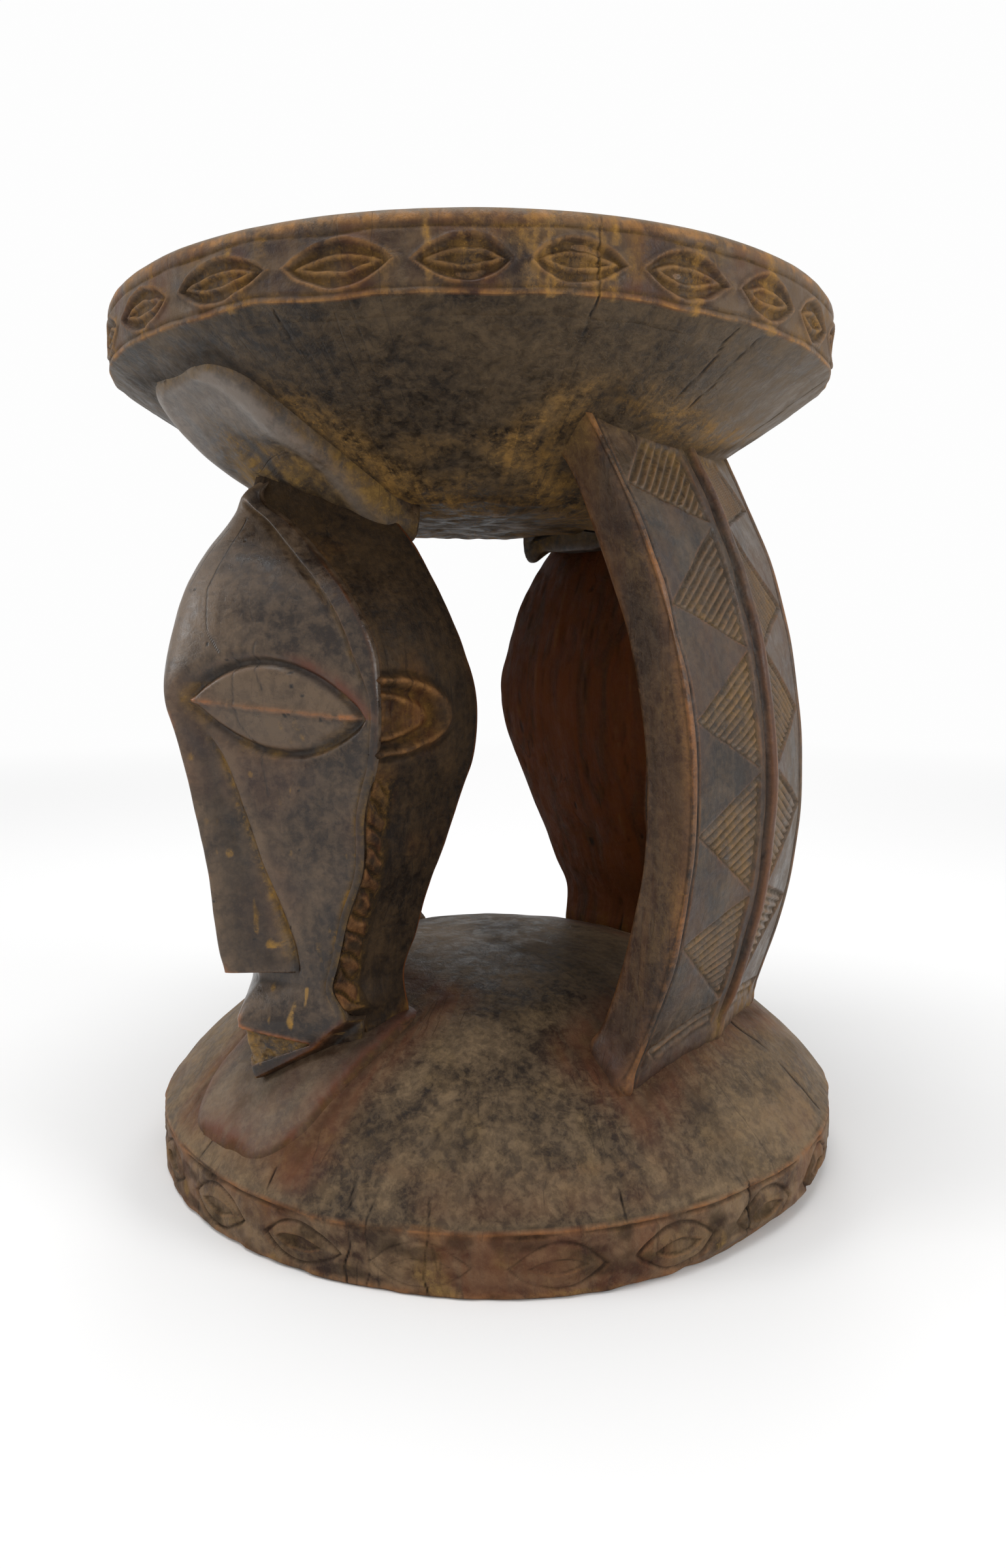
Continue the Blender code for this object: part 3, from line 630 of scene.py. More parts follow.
def makeSeat():
    values = dict(
        radius=stool["seatRadius"], wood=woods["seat"], dishFloor=412, dishRadius=120, rim=14, edge=5,
        lift=3.4, tilt=1.2, almonds=24, stray=(7, 9, 0.7),  # size, seed and depth of the almonds' straying
        almond={"Length": 41, "Height": 16.6, "Depth": 1.8,
                "Lens Length": 31, "Lens Height": 6, "Lens Rise": 1.7},
        spots=[-66, -49, -31.75, -14.25, 0.75, 13.75, 28.75, 43.75, 57.25],  # bearings from the camera's side
        streaks=[(-3.75, 1.2), (8, 2.8), (10.5, 2.0), (16, 3.0), (18.5, 1.6), (30, 2.2), (44.25, 2.8),
                 (-30, 1.6)],
        cracks=[(16.3, -3, 20, 0.4), (38, 3, 40, 0.4), (43, 4, 44, 0.4), (-24, 3, 18, 0.35),
                (75, 3, 50, 0.5), (120, 3, 35, 0.5), (170, -2, 60, 0.6), (215, 3, 30, 0.5)],
    )
    top, radius, edge, floor = stool["height"], values["radius"], values["edge"], values["dishFloor"]
    bandTop, bandLow = top - edge, cone["arris"]
    # the body: dish, rim, cone and its hewn end, which stay just under the finer band
    body = [(r, floor) for r in (2, 20, 45, 70, 95, 112, 120)]
    for way in np.linspace(0.15, 1, 7):
        reach = values["dishRadius"] + way * (radius - values["rim"] - values["dishRadius"])
        body.append((reach, floor + (top - floor) * way ** 2))
    body += [(radius - 11, top), (radius - 9, top - 0.4), (radius - 4, top - 1.5)]
    body += [(radius - 2, top - 6), (radius - 2, bandLow + 3)]
    for r in np.linspace(radius - 4.5, cone["flat"], 52):
        body.append((r, coneHeight(r) + 0.7 * fade(radius - r, 5, 10)))
    body += [(r, cone["low"]) for r in (79, 77, 74, 71, 67, 62, 56, 50, 44, 37, 30, 22, 14, 6)]
    # the band: its ends lie hidden in the body
    band = [(radius - 15, top - 16), (radius - 14, top - 5), (radius - 13, top - 1.2)]
    band += [(radius - 10.5, top - 0.3), (radius - 8.5, top + 0.1)]
    for a in np.linspace(0.1, math.pi / 2, 9):
        band.append((radius - edge * (1 - math.sin(a)), top - edge * (1 - math.cos(a))))
    band += [(radius, bandTop + (bandLow - bandTop) * k / 40) for k in range(1, 41)]
    for inward in (0.5, 1.2, 2.2, 3.4, 4.8, 6.2, 7.6, 9.2, 11):
        sunk = np.interp(inward, (6.2, 7.6, 9.2, 11), (0, -0.1, 0.3, 1.0))
        band.append((radius - inward, coneHeight(radius - inward) + sunk))
    for word, profile, columns in (("Body", body, 900), ("Band", band, 1500)):
        points, angle, away, z = turned(profile, seatCentre, columns)
        flat = points * [1, 1, 0]
        right = np.cos(angle - math.radians(50))  # 1 at the image's right
        lower = ease(z, bandTop, bandLow) * ease(away, 90, radius)
        waver = lumps(flat, 34, 3) * 0.9 + lumps(flat, 11, 2) * 0.5
        raised = (values["lift"] + values["tilt"] * right) * ease(z, bandLow, bandTop) * ease(away, 150, 172)
        points[..., 2] += waver * lower + raised
        up = (z - bandLow) / (bandTop - bandLow) * 25  # height over the lower arris, band stretched
        onBand = ease(away, radius - 1.2, radius - 0.3)
        topLine, lowLine = near(up - 22.5 - waver, 0.8), near(up - 2.6, 0.8)
        lines = topLine * (0.75 + 0.25 * lumps(points, 20, 7)) + lowLine * 0.8
        facets = lumps(points, 9, 5, (1, 1, 0.6)) * 0.3 + lumps(points, 30, 6) * 0.6
        facets *= 0.3 + 0.7 * fade(z, 400, 430)
        split = drying(points, seatCentre, radius, values["cracks"], 12) * (z < top - 2)
        pushOut(points, angle, (-lines * 0.8 - 0.5 * split) * onBand + facets)
        points[..., 2] += split * 0.5 * (z < bandLow)
        knob = fade(z, cone["low"], cone["low"] + 14) * (z < bandLow)  # roughly hewn where the cone ends
        flat = points * [1, 1, 0]
        hewn = lumps(flat, 17, 33) * 1.6 + lumps(flat, 6, 34) * 0.5
        points[..., 2] += knob * (hewn + 2.5 * ease(away, 68, 82) * fade(away, 82, 96))
        motifUp = up - 11.6 + lumps(points, 6, 10) * 0.5
        amount = onBand * (1 - topLine)
        mesh, cut = carveAlmonds("seat" + word, points, angle, motifUp, amount, values)
        # dust, scrapes, rubbing and grime, with painted shade under the seat round the supports and painted
        # sheen on the sides and on the rim's rounded top
        gap = footprintGap(points, "seat")
        under = ease(bandLow - z, 0, 6) * ease(away, 30, 60)
        patch = ease(lumps(points, 24, 31, (1, 1, 0.5)), -0.1, 0.5) * fade(away, 95, 155)
        fibrous = ease(lumps(points, 5, 32, (1, 1, 0.4)), -0.6, 0.4)
        scraped = bandStreaks(angle, radius, values["streaks"], points, 51) * (z > bandLow - 1)
        scraped *= ease(away, radius - 6, radius - 1)
        gold = near(gap - 9, 10) * under * (0.3 + 0.7 * fibrous) * fade(away, 133, 158) + under * patch * 0.5
        gold += onBand * (cut * 0.45 + 0.45 * ease(lumps(points, 9, 21), 0.0, 0.6) + 0.4 * lines)
        gold += 0.45 * knob + 2.2 * scraped
        rub = onBand * (0.35 * near(up - 27, 3) + 0.5 * near(up - 0.5, 1.0))
        rub += 0.45 * ease(z, bandTop - 1, bandTop + 1) * ease(away, radius - 4, radius - 1) * fibrous
        # painted shade under the seat round the supports; darker at the hewn end, in the incised lines and in
        # the almonds
        grimeAndShade = 0.95 * near(gap - 1, 4.5) * under + 0.5 * knob + (0.6 * lines + 0.15 * cut) * onBand
        grimeAndShade -= 0.65 * (z > bandLow + 10) * fade(away, radius - 16, radius - 11)  # the dish is wiped clean
        # painted sheen on the right side and on the band's left side, a painted highlight on the rim's
        # rounded top, darker on the hewn end, then random tone and scrapes
        paintedLightAndTone = (0.62 + 0.4 * onBand) * ease(right, 0.3, 1.0) + 0.35 * ease(-right, 0.3, 1.0) * onBand
        paintedLightAndTone += 0.9 * ease(z, bandTop - 1, top) * ease(away, radius - 12, radius) - 0.25 * knob
        paintedLightAndTone += 0.5 * onBand * lumps(points, 7, 23, (1, 1, 0.7)) + 0.6 * scraped
        red = onBand * (0.25 + 0.6 * ease(lumps(points, 15, 22), 0.0, 0.6))
        worn = 0.5 - 0.375 * ease(z, top - 4, top - 1) * ease(lumps(points, 12, 24), -0.6, 0.4)
        lap = (away < radius - 5.5) * (away > radius - 13.5) * (z < top - 3)  # where the band meets the body
        finishMarks(mesh, points.shape[:2], roundGrain(points, seatCentre, radius), gold=gold, red=red,
                    rub=rub, grimeAndShade=grimeAndShade, split=split, paintedLightAndTone=paintedLightAndTone, spare=worn * (1 - lap))
        place("seat" + word, mesh, values["wood"], "seat", "seat")


def makeBase():
    values = dict(
        radius=stool["baseRadius"], wood=woods["base"], chamfer=1.5, domeRows=62,
        rot=8.0,  # how far the lower edge has rotted away
        almonds=22, stray=(8, 24, 0.9), spots=[-62, -44, -27.75, -10, 8.25, 25.25, 42.25, 59.25],
        almond={"Length": 38, "Height": 19, "Depth": 1.5, "Lens Length": 27, "Lens Height": 8.5,
                "Lens Rise": 0.5, "Rim": -1.1, "Pocket": 0.15},
        cracks=[(-20, -2, 15, 0.4), (-17, 0, 10, 0.45), (-9, -2, 16, 0.4), (17.5, 1, 14, 0.4),
                (-34, 2, 14, 0.35), (-50, 0, 16, 0.4), (38, -2, 9, 0.4), (66, 4, 75, 0.9),
                (100, 0, 30, 0.6), (150, -2, 60, 0.8), (200, 0, 25, 0.5), (250, -2, 45, 0.6)],
    )
    radius, rim, chamfer = values["radius"], dome["band"], values["chamfer"]
    body = [(r, 0.0) for r in (5, 60, 120, 165, 172)] + [(radius - 3, 1), (radius - 3, rim / 3)]
    body.append((radius - 3, rim * 2 / 3))
    for k in range(1, values["domeRows"]):
        r = (radius - 2.5) * (1 - k / values["domeRows"]) ** 0.9
        body.append((r, domeHeight(r) - 0.7 * fade(radius - r, 6, 11)))
    band = [(radius - 9, 0.6), (radius - 6, 0.0), (radius - chamfer, 0.0)]
    band += [(radius, chamfer + (rim - chamfer) * k / 44) for k in range(45)]
    for inward in (0.6, 1.4, 2.4, 3.6, 5, 6.6, 8.4, 10, 12):
        sunk = np.interp(inward, (6.6, 8.4, 10, 12), (0, -0.1, 0.3, 1.0))
        band.append((radius - inward, domeHeight(radius - inward) - sunk))
    for word, profile, columns in (("Body", body, 1000), ("Band", band, 1500)):
        points, angle, away, z = turned(profile, baseCentre, columns)
        flat = points * [1, 1, 0]
        right = np.cos(angle - math.radians(50))  # 1 at the image's right
        onBand = ease(away, radius - 1.5, radius - 0.3) * ease(z, 0.5, 2)
        waver = lumps(flat, 40, 13) + 0.6 + 1.5 * right
        points[..., 2] += waver * ease(z, 8, rim) * ease(away, 120, radius)
        line = near(z - (rim - 1.2), 0.9) * ease(lumps(points, 22, 4), -0.5, 0.2)
        wear = lumps(points, 10, 15) * 0.5 + lumps(points, 35, 16) * 0.9 + lumps(points, 4, 17) * 0.2
        rot = 0.3 + values["rot"] * ease(right, 0.1, 1.0) + lumps(flat, 9, 14)
        foot = fade(z, 0, 9) * np.maximum(rot, 0)
        split = drying(points, baseCentre, radius, values["cracks"], 15)
        pushOut(points, angle, (-line * 1.3 + wear - 0.6 * split) * onBand - foot * ease(away, 160, radius))
        upper = ease(z, rim + 1, rim + 8)
        facets = lumps(points, 12, 18) * 0.35 + lumps(points, 40, 19) * 0.9
        points[..., 2] += (facets - split * 0.6) * upper
        faint = 0.3 + 0.7 * ease(np.abs(fromBearing(angle, 0) + 6), 8, 26)  # nearly worn off in front
        motifUp = z - rim * 0.5 + lumps(points, 7, 25) * 0.6
        mesh, cut = carveAlmonds("base" + word, points, angle, motifUp, onBand * faint, values)
        # dust, rust-red earth, grime and rubbing, with painted shade round the supports' feet and painted
        # sheen on the left and right sides
        gap = footprintGap(points, "foot")
        rusty = ease(lumps(points, 30, 26), -0.3, 0.5)
        red = near(gap - 2, 10) * upper * 0.6 + (0.2 + 0.4 * rusty) * onBand
        red += upper * 0.3 * near(z - rim, 14) * rusty
        gold = ease(lumps(points, 10, 23), 0.2, 0.7) * (0.15 + 0.8 * onBand * fade(z, 8, 20)) + 0.15 * cut
        # painted shade round the supports' feet; darker in the incised line and the almonds; then random dark
        # patches on the band and dome
        grimeAndShade = 0.5 * near(gap, 3) * upper + 0.7 * line * onBand + 0.2 * cut
        grimeAndShade += 0.75 * onBand * ease(lumps(points, 11, 28, (1, 1, 0.6)), 0.05, 0.5)
        grimeAndShade += 0.38 * upper * ease(lumps(points, 26, 27), 0.2, 0.7)
        # painted sheen on the left and right sides, with random lighter tone on the band
        paintedLightAndTone = 0.36 * ease(np.abs(right), 0.3, 1.0) + onBand * (0.1 + 0.5 * lumps(points, 7, 29, (1, 1, 0.7)))
        rub = 0.5 * onBand * near(z - rim + 0.5, 1.4) + 0.3 * onBand * near(z - 2, 2)
        lap = (away < radius - 5.5) * (away > radius - 14) * (z > rim)  # where the band meets the body
        finishMarks(mesh, points.shape[:2], roundGrain(points, baseCentre, radius), gold=gold, red=red,
                    rub=rub, grimeAndShade=grimeAndShade, split=split, paintedLightAndTone=paintedLightAndTone, spare=0.45 * (1 - lap))
        place("base" + word, mesh, values["wood"], "base", "base")


# Height, then the reach and half the width there
ridgeRows = [
    (50, 147), (58, 151), (64, 153.2), (70, 154.5), (81, 156.6), (87, 157.6), (91, 158.8), (93.8, 159.2),
    (96, 158), (99.2, 155.7), (104.3, 150.7), (109.5, 146.1), (116, 147.5), (125, 150.5), (144, 157),
    (168, 163.5), (192, 167), (216, 172.5), (228, 176.5), (239, 179.3), (244.4, 179.7), (250.6, 178.8),
    (262, 175.6), (273.3, 171.8), (284.8, 167.1), (296.4, 160.9), (308.3, 152.4), (320.5, 141.3),
    (326, 137.6), (332, 135.2), (338, 130), (350, 125), (375, 115),
]
edgeRows = [
    (40, 118, 33), (60, 122, 33), (80, 126, 34), (88.5, 127, 38), (96.5, 127, 39), (110, 130, 35),
    (119, 128, 37), (142, 124, 43), (167, 119.5, 52.5), (191, 118, 55), (218, 114.5, 63.5),
    (244.5, 114.5, 68.5), (262, 113, 66), (285, 116, 56), (308, 120.5, 35.5), (320, 124.5, 23),
    (331, 130, 8), (340, 127, 6), (350, 124, 6), (375, 114, 6),
]
backRows = [
    (40, 92, 30), (60, 92, 32), (80, 90, 34), (96.5, 89, 37), (112, 89, 38), (130, 81.5, 40),
    (145, 76.5, 42), (169, 67, 46), (194, 60, 53), (218, 55, 60), (249, 54, 61.5), (261, 57, 60),
    (286, 63.5, 55), (313, 73, 45), (326, 79, 38.5), (334, 81, 37.5), (345, 82, 40), (350, 82, 40),
    (375, 82, 40),
]
noseRows = [
    (112, 163, 19.2), (116, 163.3, 19), (125.7, 165, 18.4), (144, 166.4, 17.2), (168, 167.9, 14.8),
    (192, 170.9, 12.4), (219, 175.4, 10.4), (228, 177.2, 8.4), (237, 179, 5.2), (243, 179.6, 2),
    (250, 178.8, 0.5),
]


def faceReach(u, z, seed):  # the mask's surface: reach at a share u of the half width
    mask = dict(noseFoot=116, eye=(33.4, 238), eyeHalf=27.8, lidUp=20.5, lidLow=20, tilt=math.radians(-8.6),
                mouthHalf=23.6, upperLip=89.5, lowerLip=70.1, chin=63.7)
    ridge, edge, half = through(ridgeRows, z), through(edgeRows, z), through(edgeRows, z, 2)
    t = np.abs(u) * half
    brow = ease(z, 236, 262)
    soft = (1.6 + 9 * brow) * (1 - 0.7 * ease(z, 318, 334))
    fall = (np.sqrt(t ** 2 + soft ** 2) - soft) / (np.sqrt(half ** 2 + soft ** 2) - soft)
    bulge = 4.2 * brow * fade(z, 300, 330) - 0.9 * (1 - brow) * ease(z, 118, 130)
    reach = ridge - (ridge - edge) * fall + 4 * bulge * fall * (1 - fall)
    # nose: a long wedge that stands proud of the cheeks and ends in a flat foot
    nose, wide = through(noseRows, z), through(noseRows, z, 2)
    slope = 1.22 * (np.sqrt(t ** 2 + 1.3 ** 2) - 1.3)
    wedge = nose - slope - 1.3 * near(t - wide * 0.62, wide * 0.42)
    onNose = ease(wide + 0.4 - t, 0, 0.8) * ease(z, mask["noseFoot"] - 0.6, mask["noseFoot"] + 0.5)
    reach += (np.maximum(wedge, reach) - reach) * onNose * fade(z, 240, 248)
    beside = near(t - wide - 0.6, 1.5) * ease(z, 112, 120) * fade(z, 222, 236)
    reach -= 2.0 * beside
    inNose = ease(wide - t, -1, 5) * ease(t, 2, 6) * ease(z, 116, 124)
    # eye: an almond with a groove round it and a ridge from corner to corner
    dt, dz = t - mask["eye"][0], z - mask["eye"][1]
    c, s = math.cos(mask["tilt"]), math.sin(mask["tilt"])
    e, f = (dt * c + dz * s) / mask["eyeHalf"], dz * c - dt * s
    lid = np.where(f > 0, mask["lidUp"], mask["lidLow"])
    curve = 1 - e ** 2
    steep = np.sqrt(1 + (2 * e * lid / mask["eyeHalf"]) ** 2)
    d = (curve * lid - np.abs(f)) / steep  # distance inside the almond's outline
    closeBy = (np.abs(e) < 1.35) * ease(1.3 - np.abs(e), 0, 0.25)
    inside = ease(d, 0.6, 2.4)
    ball = 1 - np.clip(np.abs(f) / (lid * np.clip(curve, 0.05, 1)), 0, 1)
    ball *= 4.4 * np.clip(curve, 0, 1) ** 0.6
    slit = near(f, 1.3) * ease(1 - np.abs(e), 0.02, 0.12)
    groove = near(d, 1.9) * 3.8 + ease(d, -7, 0) * (1 - inside) * 1.7
    groove *= 0.35 + 0.65 * ease(1.12 - np.abs(e), 0, 0.2)
    trough = near(f + 13, 4.5) * near(e - 0.45, 0.42) * 1.6
    reach += closeBy * (inside * (ball + slit - 2.4) - groove) - trough * inside
    # border band of the mask, wide on the forehead and narrow on the cheek
    inFrom = (half - t) * 1.38
    bandWidth = 3.2 + 4.3 * ease(z, 238, 266)
    strength = (0.45 + 0.55 * ease(z, 240, 262)) * ease(z, 92, 110) * fade(z, 326, 332)
    border = ease(bandWidth - inFrom, -1.0, 0.6) * 0.8 - near(inFrom - bandWidth - 1.4, 1.4) * 1.9
    reach += border * strength
    # mouth: a rough triangular opening between beak-like lips
    corner = mask["mouthHalf"]
    side = t / corner
    upper, lower = mask["upperLip"] - 7 * side, mask["lowerLip"] + 11.8 * side
    gape = ease(upper - z, 0, 0.9) * ease(z - lower, 0, 0.9) * ease(corner + 0.5 - t, 0, 1)
    spot = stacked(u * half, reach, z)
    onLip = ease(corner + 1 - t, 0, 2)
    reach += 0.6 * near(z - upper - 0.9, 0.9) * onLip
    reach -= gape * (2.6 + lumps(spot, 2.4, seed + 1))
    chin = mask["chin"] + np.where(t < corner, 16 * side, 16 + 14.3 * (t - corner) / 14.4)
    reach -= 9.5 * ease(chin - z, 0, 1.3)
    reach += lumps(spot, 16, seed + 2) * 0.35 + lumps(spot, 6, seed + 3) * 0.12
    cut = {
        "gape": gape,
        "lip": near(z - upper - 0.7, 1.1) * onLip,
        "chin": near(z - chin - 1, 1.2),
        "beside": beside,
        "seam": near(t - wide - 1.0, 1.1) * ease(z, 118, 126) * fade(z, 212, 232),
        "inNose": inNose * (1 - brow),
        "ridge": near(t, 1.6) * (1 - brow),
        "cheekLip": near(t - wide - 4, 2) * ease(z, 118, 140) * (1 - brow),
        "eye": inside * closeBy * (np.abs(e) < 1),
        "slit": slit * closeBy,
        "underSlit": near(f + 2.2, 1.2) * closeBy * (np.abs(e) < 0.95),
        "groove": near(d + 0.5, 2.2) * closeBy * (np.abs(e) < 1.05),
        "lids": near(d + 3.2, 2.6) * closeBy * (f > 0) * ease(e, 0.1, 0.5),
        "lowLid": near(d + 1.6, 1.4) * closeBy * (f < 0) * (np.abs(e) < 0.9),
        "border": near(inFrom - bandWidth - 1.2, 1.2) * strength,
    }
    return reach, cut


def crackLine(u, z, path, width):  # a fine crack through points on the mask: u and height
    us, zs = np.array(path, float).T
    order = np.argsort(zs)
    wanted = np.interp(z, zs[order], us[order])
    inside = (z > zs.min()) * (z < zs.max())
    half = through(edgeRows, z, 2)
    return near((u - wanted) * half * 1.3, width) * inside


def wormholes(u, z, spots, seed, count):  # round beetle holes, some placed, the rest scattered
    rng = np.random.default_rng(seed)
    spots = spots + [(rng.uniform(-0.85, 0.85), rng.uniform(130, 312)) for _ in range(count)]
    half = through(edgeRows, z, 2)
    return sum((np.hypot((u - hu) * half * 1.3, z - hz) < 0.7) * 1.0 for hu, hz in spots)


def shownOnly(marks, hidden):  # the marks of a shown face, and nothing on its hidden columns
    return {name: joined(field, np.zeros(hidden.shape)) for name, field in marks.items()}


def makeMask(word, bearing, seed):
    values = dict(columns=268, rowStep=0.9, low=54, high=345, tuck=3.4, thick=11, crack=0.38, holes=16)
    cracks = [  # strength, then the places it runs through: u and height
        (0.95, [(0.40, 322), (0.30, 305), (0.22, 290), (0.26, 272), (0.34, 262)]),
        (0.8, [(0.10, 318), (0.04, 305), (0.02, 292)]),
        (0.7, [(0.40, 262), (0.36, 247), (0.33, 232), (0.40, 215), (0.42, 198)]),
        (0.7, [(0.52, 268), (0.48, 258), (0.50, 246)]),
    ]
    holes = [(0.10, 290), (0.27, 266), (0.36, 259), (0.63, 248), (0.60, 236)]
    rows = np.arange(values["low"], values["high"], values["rowStep"])
    fine = [np.arange(113.5, 118.5, 0.35), np.arange(64, 84, 0.6)]  # at the nose's foot and the lower lip
    for extra in fine:
        rows = rows[(rows < extra[0] - 0.2) | (rows > extra[-1] + 0.2)]
    u, z = np.meshgrid(np.linspace(-1, 1, values["columns"]), np.sort(np.concatenate([rows, *fine])))
    reach, cut = faceReach(u, z, seed)
    half = through(edgeRows, z, 2)
    across = u * half
    t = np.abs(across)
    fromEdge = (half - t) * 1.38
    low = fade(z, 206, 214)
    fineLine = near(fromEdge - 4.6, 0.8) * low * ease(z, 100, 110)
    reach -= 1.6 * near(fromEdge, 1.6) * low + 5 * ease(z, 335, 343) + 0.6 * fineLine
    # the hidden back: steps behind the edge, with a share of the half width and less
    level, wide, tuck = z[:, :1], half[:, :1], values["tuck"]
    edge = through(edgeRows, level) - 9.5 * fade(level, 93.7, 95) - 5 * ease(level, 335, 343)
    steps = [(0.3 * tuck, 1, 0), (0.8 * tuck, 1, 0.6), (1.1 * tuck, 1, 2.2)]
    steps += [(values["thick"], share, 3) for share in (0.85, 0.5, 0.15)]
    back = [(edge - depth, wide * share - less) for depth, share, less in steps]
    backReach = joined(*[r for r, w in back + back[::-1]])
    backAcross = joined(*[w for r, w in back], *[-w for r, w in back[::-1]])
    reachAll, acrossAll = joined(reach, backReach), joined(across, backAcross)
    zAll = level + 0 * reachAll
    points = stand(reachAll, acrossAll, zAll, headTurn(zAll), bearing)
    # colour: golden dust in the seams, red lids and lips, painted highlights on the brow, eyes and nose
    # ridge, painted shade on the nose's sides and in the grooves
    split = sum(strength * crackLine(u, z, path, values["crack"]) for strength, path in cracks)
    split += wormholes(u, z, holes, seed + 9, values["holes"])
    spot = stacked(across, reach, z)
    brow = ease(z, 250, 275)
    flecks = ease(lumps(spot, 4, seed + 5, (1, 1, 1.8)), 0.7, 0.85) * fade(z, 220, 240)
    scuffs = ease(lumps(spot, 9, seed + 6), 0.1, 0.6)
    gold = (2.0 * cut["seam"] + 0.9 * fineLine) * (0.4 + 0.6 * scuffs) + 0.5 * near(fromEdge, 1.4) * low
    gold += 0.8 * cut["gape"] + 0.7 * cut["border"] * (0.3 + 0.7 * scuffs)
    gold += 0.45 * cut["groove"] * (z < 250) * scuffs + flecks
    red = 1.2 * cut["lids"] + 0.5 * cut["lip"] + 0.6 * cut["chin"] * ease(z, 60, 90)
    red += 0.15 * ease(lumps(spot, 30, seed + 7), 0.0, 0.7)
    rub = 0.7 * cut["slit"] * (0.5 + 0.5 * scuffs) + 0.45 * cut["ridge"] * scuffs + 0.6 * cut["lip"]
    # painted highlights on the eyes, cheek lips, nose ridge and middle of the brow; a lighter border band;
    # painted shade under the eye slit and along the mask's edge; darker towards the bottom; random lighter
    # and darker patches
    paintedLightAndTone = 0.55 * cut["eye"] + 0.45 * cut["cheekLip"] - 0.3 * cut["underSlit"] + 0.25 * cut["lowLid"]
    paintedLightAndTone += 0.4 * cut["border"] + 0.35 * near(t, 5) * (1 - brow) - 0.35 * fade(z, 92, 100)
    paintedLightAndTone += brow * (0.6 * fade(np.abs(u), 0.2, 0.6) - 0.12 * ease(np.abs(u), 0.45, 0.7))
    paintedLightAndTone += 0.35 * ease(lumps(spot, 20, seed + 12), 0.0, 0.5) * brow
    paintedLightAndTone -= 0.12 * ease(lumps(spot, 25, seed + 13), 0.1, 0.6) + 0.05 * low + 0.35 * near(fromEdge, 2)
    # painted shade on the nose's sides, in the eye's groove, in the groove beside the nose and along the
    # mask's lower edge
    grimeAndShade = 0.5 * cut["inNose"] * (1 + near(t - through(noseRows, z, 2), 7))
    grimeAndShade += 0.9 * near(fromEdge, 2.5) * low + 0.8 * cut["groove"] + 0.6 * cut["beside"]
    spare = (0.25 + 0.35 * scuffs) * (1 - near(fromEdge, 3) * (0.6 + 0.4 * low))
    marks = dict(gold=gold, red=red, rub=rub, grimeAndShade=grimeAndShade, split=split, paintedLightAndTone=paintedLightAndTone, spare=spare)
    mesh = gridMesh(word + "Mask", points, {})
    grain = stacked(acrossAll, reachAll, zAll * 0.1)
    finishMarks(mesh, points.shape[:2], grain, **shownOnly(marks, backReach))
    mine = ["head", "teeth", "nose", "left_eye", "right_eye"]
    place(word + "Mask", mesh, woods["mask"], "nose", *[word + "_" + name for name in mine])


def notchedStripTree():
    tree = Tree("notchedStrip", {
        "Pitch": 9.9, "Slant": 0.72, "Width": 11.8, "Rise": 2.8, "Low": 97, "High": 207,
    })
    behind, up = tree.named("along"), tree.named("up")
    step = ((up + behind * tree.value("Slant")) / tree.value("Pitch")).op("FRACT")
    block = step.ease(0.0, 0.2) * (1.0 - step.ease(0.72, 1.0)) * (0.62 + step * 0.55)
    live = (behind.ease(0.4, 1.6) * (1.0 - (behind - tree.value("Width")).ease(-4.0, 1.2))
            * (up - tree.value("Low")).ease(0.0, 4.0) * (1.0 - (up - tree.value("High")).ease(-4.0, 0.0)))
    return tree.finish((block - 0.12) * tree.value("Rise") * live, live * block)


notchedStrip = notchedStripTree()


